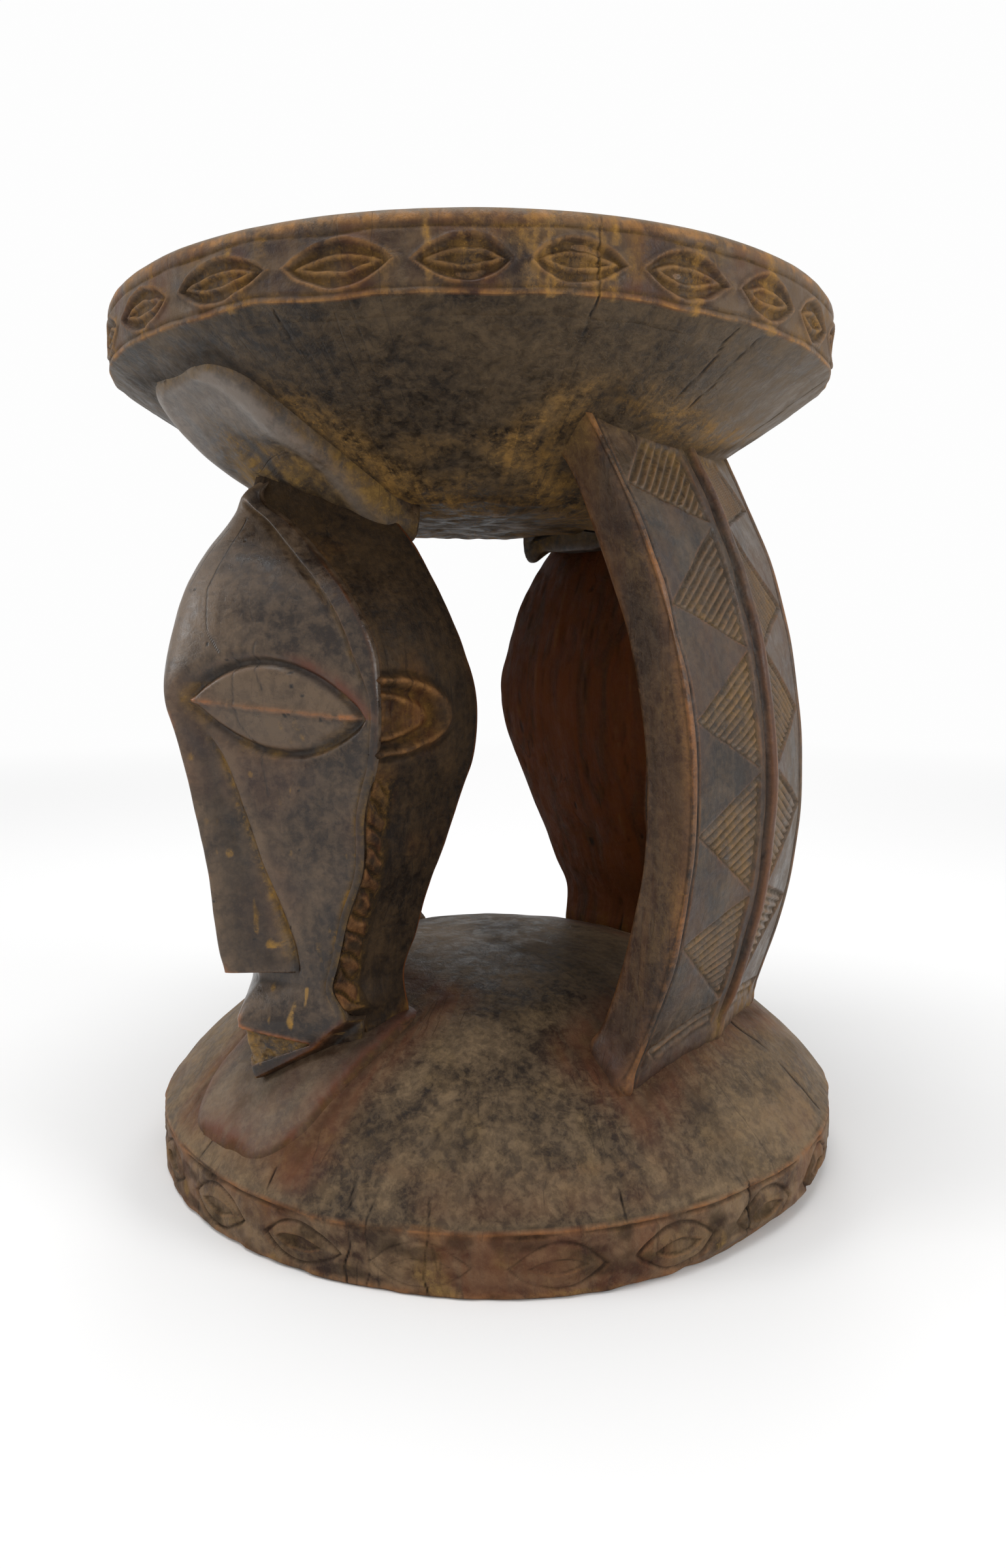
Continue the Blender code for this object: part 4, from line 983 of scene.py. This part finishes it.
def makeSkull(word, bearing, setback, seed):
    values = dict(side=74, back=56, front=6, rowStep=0.95, low=50, high=366, lap=1.6)
    ear = dict(z=234.5, length=43.5, half=18.5)
    side, end = values["side"], values["side"] + values["back"]  # columns where a side and the back end
    z = np.arange(values["low"], values["high"], values["rowStep"])[:, None]
    back, backHalf = through(backRows, z) + setback, through(backRows, z, 2)
    undercut = 7 * fade(z, 93, 101)
    start = through(edgeRows, z) - 1.2 - undercut
    startHalf = np.maximum(through(edgeRows, z, 2) - values["lap"] - 0.4 * undercut, 3)
    way = np.linspace(0, 1, side)[None, :]
    sideReach = start + (back - start) * way
    sideHalf = startHalf + (backHalf - startHalf) * way + 6.4 * way * (1 - way)
    behind = way * np.hypot(back - start, backHalf - startHalf)
    over = np.linspace(1, -1, values["back"] + 2)[None, 1:-1]
    hiddenOver = np.linspace(-1, 1, values["front"] + 2)[None, 1:-1]
    hidden = start - 4 * fade(z, 328, 336) + 0 * hiddenOver
    reach = joined(sideReach, back - 3.8 * (1 - over ** 2), sideReach[:, ::-1], hidden)
    across = joined(sideHalf, over * backHalf, -sideHalf[:, ::-1], hiddenOver * startHalf * 0.8)
    rounded = np.zeros(reach.shape, bool)  # columns round the back, where two corners are softened
    rounded[:, side - 5:end + 5] = True
    for _ in range(3):
        reach, across = [np.where(rounded, blurred(field, 0, 1), field) for field in (reach, across)]
    zAll = z + 0 * reach
    points = stand(reach, across, zAll, headTurn(zAll), bearing)
    outward = gridNormals(points)
    spot = stacked(across, reach, zAll)
    far = np.full(reach.shape, 1000.0)  # distance behind the mask's edge
    far[:, :side] = behind
    far[:, end:end + side] = behind[:, ::-1]
    onBack = np.zeros(reach.shape)
    onBack[:, side - 3:end + 3] = 1
    # ear: a rolled C with a second, smaller C inside it, open to the mask
    ring = np.hypot(far / ear["length"], (zAll - ear["z"]) / ear["half"]) + lumps(spot, 9, seed + 7) * 0.035
    roll = near(ring - 0.87, 0.095) * 3.4 - near(ring - 0.67, 0.08) * 1.6 + near(ring - 0.50, 0.075) * 1.8
    roll -= near(ring, 0.34) * (1.0 + 0.8 * lumps(spot, 3, seed + 8)) + near(ring - 1.08, 0.06) * 0.6
    isEar = far < 60
    tool = lumps(spot, 6, seed, (1, 1, 3)) * 0.3 + lumps(spot, 24, seed + 1, (1, 1, 1.5)) * 0.7
    rough = lumps(spot, 3, seed + 2, (1, 1, 9)) * 0.25 + lumps(spot, 13, seed + 3, (1, 1, 4)) * 0.5
    flare = 2 * near(np.maximum(zAll - domeTop(points), 0), 7) * (far > 6)
    points += outward * (roll * isEar + tool + rough * onBack + flare)[..., None]
    marks = {"along": far + lumps(spot, 6, seed + 5) * 1.5, "up": zAll + lumps(spot, 7, seed + 9) * 2.2}
    mesh = carve(gridMesh(word + "Skull", points, marks), notchedStrip, woods["skull"], {})
    grid = points.shape[:2]
    cut = readMark(mesh, "cut", grid)
    # colour: a split red back, dust in the notches, worn ear rolls, painted shade on the neck, low down and
    # at the mask's foot
    strip = fade(far, 13, 15) * ease(zAll, 96, 100) * fade(zAll, 203, 208)
    neck = ease(zAll, 285, 325) * (1 - onBack)
    cupped = (ring < 0.72) * isEar
    spread = ease(lumps(spot, 18, seed + 11, (1, 1, 1.6)), -0.1, 0.6)
    uneven = ease(lumps(spot, 5, seed + 6), -0.4, 0.6)
    split = ease(lumps(spot, 4.5, seed + 4, (1, 1, 16)), 0.78, 0.9) * onBack
    split += 0.8 * near(far - 0.4, 0.9) * (zAll > 200)
    gold = 0.8 * strip * near(cut - 0.25, 0.2) + 0.25 * cupped + 0.1 * neck + 0.15 * onBack
    gold += 0.4 * spread * (1 - onBack) * (1 - neck)
    gold += 0.7 * near(np.maximum(zAll - domeTop(points), 0), 7) * uneven
    red = onBack + 0.15 * cupped - 0.3 * neck + 0.3 * ease(cut, 0.2, 0.6) * uneven
    red += 0.25 * spread * (1 - strip)
    rub = 0.5 * ease(cut, 0.5, 0.85) * uneven + 0.5 * near(ring - 0.5, 0.06) * isEar * uneven
    worn = (0.25 + 0.4 * ease(zAll - ear["z"], -5, 10)) * (0.5 + 0.5 * uneven)
    rub += worn * near(ring - 0.87, 0.07) * isEar
    # painted shade high on the neck under the seat, low down and in the corner at the mask's foot; darker in
    # the notches and along the strip's back edge
    grimeAndShade = 0.5 * strip * fade(cut, 0.05, 0.2) + 0.6 * near(far - 14, 4) * (strip > 0) + 0.8 * neck
    grimeAndShade += 0.35 * fade(zAll, 110, 150) * (1 - strip) + fade(zAll, 96, 99) * near(far, 8)
    finishMarks(mesh, grid, stacked(across, reach, zAll * 0.1), gold=gold, red=red, rub=rub, grimeAndShade=grimeAndShade,
                split=split, spare=0.5)
    mine = ["head", "left_ear", "right_ear", "left_cheek_braid", "right_cheek_braid"]
    place(word + "Skull", mesh, woods["skull"], "head", *[word + "_" + name for name in mine])


def outlineGap(reach, across, outline):  # distance from a polyline, mirrored across the middle
    gap = np.full(reach.shape, 1000.0)
    p = stacked(reach, np.abs(across))
    outline = np.array(outline)
    for a, b in zip(outline, outline[1:]):
        way = np.clip(((p - a) * (b - a)).sum(-1) / ((b - a) ** 2).sum(), 0, 1)
        gap = np.minimum(gap, np.linalg.norm(p - a - way[..., None] * (b - a), axis=-1))
    return gap


def makeTongue(word, part, bearing, setback, seed):  # crest on the seat or pad on the foot
    kinds = {
        "crest": dict(inner=66, outer=163, wide=43, taper=2.0, thick=11.0, corner=20, shoulder=3.0,
                      level=345.0, fibres=0.12, head=[(128, 0), (112, 20), (81, 40), (60, 40)]),
        "pad": dict(inner=70 + setback, outer=171, wide=45, taper=4.0, thick=5.2, corner=24, shoulder=6.0,
                    level=66.0, fibres=1.0, head=[(158, 0), (127, 39), (90, 37), (80, 37)]),
    }
    kind = kinds[part]
    inner, outer, corner = kind["inner"], kind["outer"], kind["corner"]
    reach, u = np.meshgrid(np.linspace(inner - 1, outer + 1, 150), np.linspace(-1, 1, 120), indexing="ij")
    past = np.clip(reach - (outer - corner), 0, corner)
    half = kind["wide"] - kind["taper"] * np.abs(reach - 110) / 55
    half += np.sqrt(corner ** 2 - past ** 2) - corner
    across = u * (half + 0.6)
    level = np.full(reach.shape, kind["level"])
    spot = stacked(across, reach, level)
    edgeGap = np.minimum(np.minimum(reach - inner, outer - reach), half - np.abs(across))
    edgeGap += lumps(spot, 16, seed)
    rise = np.clip((edgeGap + 0.6) / kind["shoulder"], 0, 1)
    low = ease(1 - rise, 0.4, 0.9)  # the foot of the tongue's edge
    lift = kind["thick"] * np.sqrt(1 - (1 - rise) ** 2) - 1.5
    lift += lumps(spot, 10, seed + 1) * 0.3 + lumps(spot, 30, seed + 2) * 0.6
    bar = near(half - np.abs(across) - 6, 4.5)  # the stout edge on each side
    gap = outlineGap(reach, across, kind["head"])
    points = stand(reach, across, level, headTurn(level), bearing)
    # painted shade next to the head and at the foot of the tongue's edge
    grimeAndShade = 0.6 * near(gap, 7) + 0.8 * low
    if part == "crest":
        lift *= 1 - 0.6 * ease(reach, outer - 30, outer)  # sinks into the seat at its outer end
        lift += 1.6 * bar - 1.5 * near(gap - 14, 7) + 4 * near(gap, 7)
        lift += 0.6 * near(gap, 18) * lumps(spot, 2.2, seed + 3, (2, 7, 1))
        surface = coneFace(points)
        heights = surface - lift, surface + 4
        fibrous = near(gap - 8, 12) * ease(lumps(spot, 6, seed + 4, (1, 4, 1)), -0.8, 0.3) * (1 - 0.8 * bar)
        gold, red = fibrous * 1.1 + low * 0.5, fibrous * 0.2
        # painted highlight on the stout edge, lighter towards the outer end, and painted shade next to the
        # head, here and in the grime below
        paintedLightAndTone = 0.35 * bar + 0.3 * ease(reach, 100, 150) - 0.65 * near(gap - 8, 14) * (1 - bar)
        grimeAndShade += 0.4 * near(gap - 10, 10) * (1 - bar)
    else:
        lift -= 7 * fade(reach, inner + 5, inner + 32)  # sinks into the dome beside the head
        surface = domeTop(points)
        heights = surface + lift, surface - 4
        fibrous = near(gap, 17) * ease(lumps(spot, 7, seed + 4, (1, 3, 1)), -0.8, 0.3)
        gold, red = low * 0.3, near(edgeGap, 2.5) * 0.6 + fibrous * 0.3 + 0.5 * near(edgeGap, 7)
        # lighter towards the outer end, painted shade next to the head
        paintedLightAndTone = 0.25 * ease(reach, 110, 150) - 0.5 * fade(reach, inner + 20, inner + 45)
    shown, sunk = [stacked(points[..., 0], points[..., 1], height) for height in heights]
    ring = joined(shown, sunk[:, ::-1])
    grain = stacked(across * kind["fibres"], reach, 0.3 * level)
    marks = shownOnly(dict(gold=gold, red=red, grimeAndShade=grimeAndShade, paintedLightAndTone=paintedLightAndTone), reach)
    name = word + part.capitalize()
    mesh = gridMesh(name, ring, {})
    finishMarks(mesh, ring.shape[:2], joined(grain, grain), spare=0.25, **marks)
    place(name, mesh, woods[part], part, word + "_" + part)


def hatchedTrianglesTree():
    tree = Tree("hatchedTriangles", {
        "Pitch": 56.4, "First": 96, "Base": 55, "Inner": 10.5, "Outer": 62.5, "Apex": 0.71,
        "Apex Step": 0.12, "Depth": 1.8, "Hatch": 3.6, "Hatch Depth": 1.4,
    })
    along, up, amount = tree.named("along"), tree.named("up"), tree.named("amount")
    pitch, base = tree.value("Pitch"), tree.value("Base")
    inner, outer = tree.value("Inner"), tree.value("Outer")
    count = (up - tree.value("First")) / pitch
    cell = count.op("FRACT") * pitch  # height above a triangle's foot
    number = count.op("FLOOR")
    way = (along.abs() - inner) / (outer - inner)  # 0 at the rib, 1 at the apex
    apex = base * (tree.value("Apex") - number * tree.value("Apex Step"))
    fromFoot = cell - way * apex
    fromTop = (base - way * (base - apex)) - cell
    gap = fromFoot.least(fromTop).least(along.abs() - inner) * 0.82
    sunk = gap.ease(0.0, 0.9)
    lines = (fromTop / tree.value("Hatch") * 6.2832 * 0.82).op("COSINE") * 0.5 + 0.5
    inPocket = gap.ease(0.8, 2.2)
    rise = sunk * tree.value("Depth") * -1.0 + lines * inPocket * tree.value("Hatch Depth")
    return tree.finish(rise * amount, sunk * amount)


hatchedTriangles = hatchedTrianglesTree()


def makePanel(word, bearing, inset, widthShare, seed):
    values = dict(rowStep=0.9, low=44, high=378, facet=144, wall=24, inner=24, thick=25, rise=9.5,
                  innerShare=0.883, waist=215, span=150, reach=(127.9, 161.9, 116.1), half=68.5, rib=3.6)
    z = np.arange(values["low"], values["high"], values["rowStep"])[:, None]
    way = (z - values["waist"]) / values["span"]
    foot, middle, top = values["reach"]
    crest = middle + (top - foot) / 2 * way - (middle - (top + foot) / 2) * way ** 2 - inset
    half = (values["half"] + 6.1 * way ** 2) * widthShare
    x = np.linspace(1, -1, values["facet"])[None, :]
    drop = values["rise"] * (np.sqrt(x ** 2 + 0.0004) - 0.02) * (1 + 0.12 * (1 - np.abs(x)))
    inward = np.linspace(0, 1, values["wall"] + 1)[None, 1:]
    over = np.linspace(-1, 1, values["inner"] + 2)[None, 1:-1]
    edgeReach, innerHalf = crest - values["rise"], half * values["innerShare"]
    wallReach = edgeReach - values["thick"] * inward
    wallAcross = half + (innerHalf - half) * inward
    innerReach = edgeReach - values["thick"] + 2.5 * (1 - over ** 2)
    reach = joined(crest - drop, wallReach, innerReach, wallReach[:, ::-1])
    across = joined(half * x, -wallAcross, over * innerHalf, wallAcross[:, ::-1])
    isFace, isWall = np.zeros(reach.shape), np.zeros(reach.shape)
    isFace[:, :values["facet"]] = 1
    isWall[:, values["facet"]:values["facet"] + values["wall"]] = 1
    isWall[:, -values["wall"]:] = 1
    inEdge = half - np.abs(across)
    fromEdge = inEdge * isFace + 1000 * (1 - isFace)
    zAll = z + 0 * reach
    spot = stacked(across, reach, zAll)
    sway = lumps(spot * [0, 0, 1], 16, seed + 5) * 0.7
    ribAcross = across + sway
    rib = np.sqrt(np.clip(1 - (ribAcross / values["rib"]) ** 2, 0, 1)) * 2.2
    rib -= near(ribAcross + values["rib"] + 0.8, 1.0) * 1.4 + near(ribAcross - values["rib"] - 0.6, 0.8) * 0.6
    border = ease(3.6 - fromEdge + sway, -0.6, 1.2) * 0.7 - near(fromEdge - sway - 5.0, 0.8)
    smooth = np.maximum(near(fromEdge, 1.2), isWall * near(inEdge, 1.0))
    points = stand(reach, across, zAll, 0.0, bearing)
    outward = gridNormals(points)
    footGap, topGap = zAll - domeTop(points), coneFace(points) - zAll
    wave = lumps(spot, 9, seed, (1, 1, 2.5)) * 0.25 + lumps(spot, 34, seed + 1) * 0.8
    wave += near(np.maximum(footGap, 0), 14) * lumps(spot, 4, seed + 11) * 0.5
    flare = 2.8 * near(np.maximum(footGap, 0), 9) + 0.5 * near(np.maximum(topGap, 0), 6)
    carved = (rib * ease(zAll, 74, 100) + border) * isFace
    points += outward * (carved - 0.9 * smooth + wave + flare)[..., None]
    live = isFace * ease(fromEdge, 5.0, 7.0) * ease(footGap, 4, 20) * ease(topGap, 0, 4)
    shares = across / half  # the pattern keeps its share of the width
    warped = zAll + lumps(spot, 12, seed + 7) * 0.4 + lumps(spot * [0, 0, 1], 40, seed + 8) * 1.2
    marks = {"along": shares * values["half"] + lumps(spot, 10, seed + 6) * 0.4, "up": warped, "amount": live}
    mesh = carve(gridMesh(word + "Panel", points, marks), hatchedTriangles, woods["panel"], {})
    grid = points.shape[:2]
    cut = readMark(mesh, "cut", grid)
    # colour: dust in the triangles, a rubbed rib and edges, red walls, painted shade where the panel meets
    # the foot and the seat and beside the rib, painted light on one half of the face
    patch = ease(lumps(spot, 20, seed + 9, (1, 1, 1.5)), -0.3, 0.5)
    onRib = ease(values["rib"] - np.abs(ribAcross), 0, 1) * isFace
    gold = cut * (0.12 + 0.28 * patch) + near(topGap, 10) * 0.35 + near(footGap, 15) * 0.9 * patch
    gold += 0.35 * isWall * patch * near(inEdge, 7)
    red = (0.25 + 0.2 * patch) * isWall + 0.25 * patch * isFace * (1 - cut)
    red += 0.5 * near(footGap, 12) + 0.5 * onRib
    split = 0.8 * near(fromEdge - sway - 5.0, 0.7) * ease(lumps(spot, 30, seed + 3), -0.7, 0.1)
    rub = (0.75 * near(fromEdge - 1.0, 2.0) + 0.9 * near(ribAcross - 1.6, 0.9)) * isFace
    rub += 0.6 * isWall * near(inEdge, 1.3)
    # painted shade where the panel meets the dome and the seat, and a painted shadow beside one side of the
    # rib
    grimeAndShade = 0.6 * near(footGap, 4) + 0.5 * near(topGap, 4)
    grimeAndShade += 0.8 * near(ribAcross + values["rib"] + 0.5, 1.4) * isFace
    # painted light on one half of the face, darker round the middle height, lighter hatching, random tone,
    # and painted shade on the walls under the seat
    paintedLightAndTone = (0.4 * ease(shares, 0.1, 0.6) - 0.15 * near(zAll - 205, 60)) * isFace + 0.5 * cut
    paintedLightAndTone += 0.2 * lumps(spot, 14, seed + 10, (1, 1, 1.6)) - 0.3 * near(topGap, 25) * (1 - isFace)
    finishMarks(mesh, grid, stacked(across, reach, zAll * 0.1), gold=gold, red=red, split=split,
                rub=rub * (0.4 + 0.6 * patch), grimeAndShade=grimeAndShade, paintedLightAndTone=paintedLightAndTone, spare=0.35)
    place(word + "Panel", mesh, woods["panel"], "panel", word + "_panel", word + "_panel_rib")


makeSeat()
print("seat carved")
makeBase()
print("foot carved")
for word, bearing, setback, seed in (("front", 0.0, 0.0, 40), ("rear", math.pi, 9, 70)):
    makeMask(word, bearing, seed)
    makeSkull(word, bearing, setback, seed + 10)
    makeTongue(word, "crest", bearing, 0.0, seed + 15)
    makeTongue(word, "pad", bearing, setback, seed + 20)
    print(word, "head carved")
makePanel("right", math.radians(106), 0.0, 1.0, 90)
makePanel("left", math.radians(286), 10, 0.85, 95)
print("panels carved")


view = dict(distance=0.597, height=0.269, side=0.003, pitch=0.133, turn=math.radians(50), lens=25.2)


def makeCamera():
    camera = bpy.data.objects.new("camera", bpy.data.cameras.new("camera"))
    scene.collection.objects.link(camera)
    c, s = math.cos(view["turn"]), math.sin(view["turn"])
    x, y = view["side"], -view["distance"]
    foot = baseCentre * mm
    camera.location = (foot[0] + c * x - s * y, foot[1] + s * x + c * y, view["height"])
    camera.rotation_euler = (math.pi / 2 - view["pitch"], 0, view["turn"])
    camera.data.sensor_fit = "AUTO"
    camera.data.sensor_width = 36
    camera.data.lens = view["lens"]
    scene.camera = camera


def makeLamp(name, spot, size, power, target=(0, 0, 0.2)):
    lamp = bpy.data.objects.new(name, bpy.data.lights.new(name, "AREA"))
    scene.collection.objects.link(lamp)
    lamp.data.shape = "DISK"
    lamp.data.size = size
    lamp.data.energy = power
    lamp.location = spot
    lamp.rotation_euler = (Vector(target) - Vector(spot)).to_track_quat("-Z", "Y").to_euler()


def makeFloor():  # white paper that keeps the stool's shadow and fades into the background
    values = dict(size=6.0, nearRing=0.45, farRing=2.4, paper=0.83, white=0.985)
    size = values["size"]
    mesh = bpy.data.meshes.new("floor")
    corners = [(-size, -size, 0), (size, -size, 0), (size, size, 0), (-size, size, 0)]
    mesh.from_pydata(corners, [], [(0, 1, 2, 3)])
    floor = bpy.data.objects.new("floor", mesh)
    scene.collection.objects.link(floor)
    material = bpy.data.materials.new("floorPaper")
    material.use_nodes = True
    tree = material.node_tree
    shader = tree.nodes["Principled BSDF"]
    paper = values["paper"]
    shader.inputs["Base Color"].default_value = (paper, paper, paper, 1)
    shader.inputs["Roughness"].default_value = 0.85
    shader.inputs["Specular IOR Level"].default_value = 0.2
    glow = tree.nodes.new("ShaderNodeEmission")
    white = values["white"]
    glow.inputs["Color"].default_value = (white, white, white, 1)
    split = tree.nodes.new("ShaderNodeSeparateXYZ")
    tree.links.new(tree.nodes.new("ShaderNodeTexCoord").outputs["Object"], split.inputs[0])
    x, y = Field(tree, split.outputs[0]), Field(tree, split.outputs[1])
    away = (x * x + y * y).op("SQRT").ease(values["nearRing"], values["farRing"])
    seen = Field(tree, tree.nodes.new("ShaderNodeLightPath").outputs["Is Camera Ray"])
    blend = tree.nodes.new("ShaderNodeMixShader")
    tree.links.new((away * seen).socket, blend.inputs[0])
    tree.links.new(shader.outputs[0], blend.inputs[1])
    tree.links.new(glow.outputs[0], blend.inputs[2])
    tree.links.new(blend.outputs[0], tree.nodes["Material Output"].inputs["Surface"])
    floor.data.materials.append(material)


def makeWorld():
    world = bpy.data.worlds.new("studio")
    scene.world = world
    world.use_nodes = True
    tree = world.node_tree
    background = tree.nodes["Background"]
    path = tree.nodes.new("ShaderNodeLightPath")
    seen = Field(tree, path.outputs["Is Camera Ray"]) + Field(tree, path.outputs["Is Transmission Ray"])
    seen = (seen + Field(tree, path.outputs["Is Glossy Ray"]) * 0.6).least(1.0)
    background.inputs["Color"].default_value = (1, 1, 1, 1)
    strength = seen * 0.385 + 0.6
    tree.links.new(strength.socket, background.inputs["Strength"])


makeCamera()
makeWorld()
makeFloor()
makeLamp("topLamp", (0.1, -0.4, 2.0), 1.4, 20)
makeLamp("keyLamp", (-0.9, -1.8, 1.2), 1.0, 13)
makeLamp("sideLamp", (1.9, 0.8, 0.9), 1.0, 19)
makeLamp("backLamp", (-1.4, 1.5, 1.2), 1.0, 8)
scene.view_settings.view_transform = "Standard"
print("stool finished")
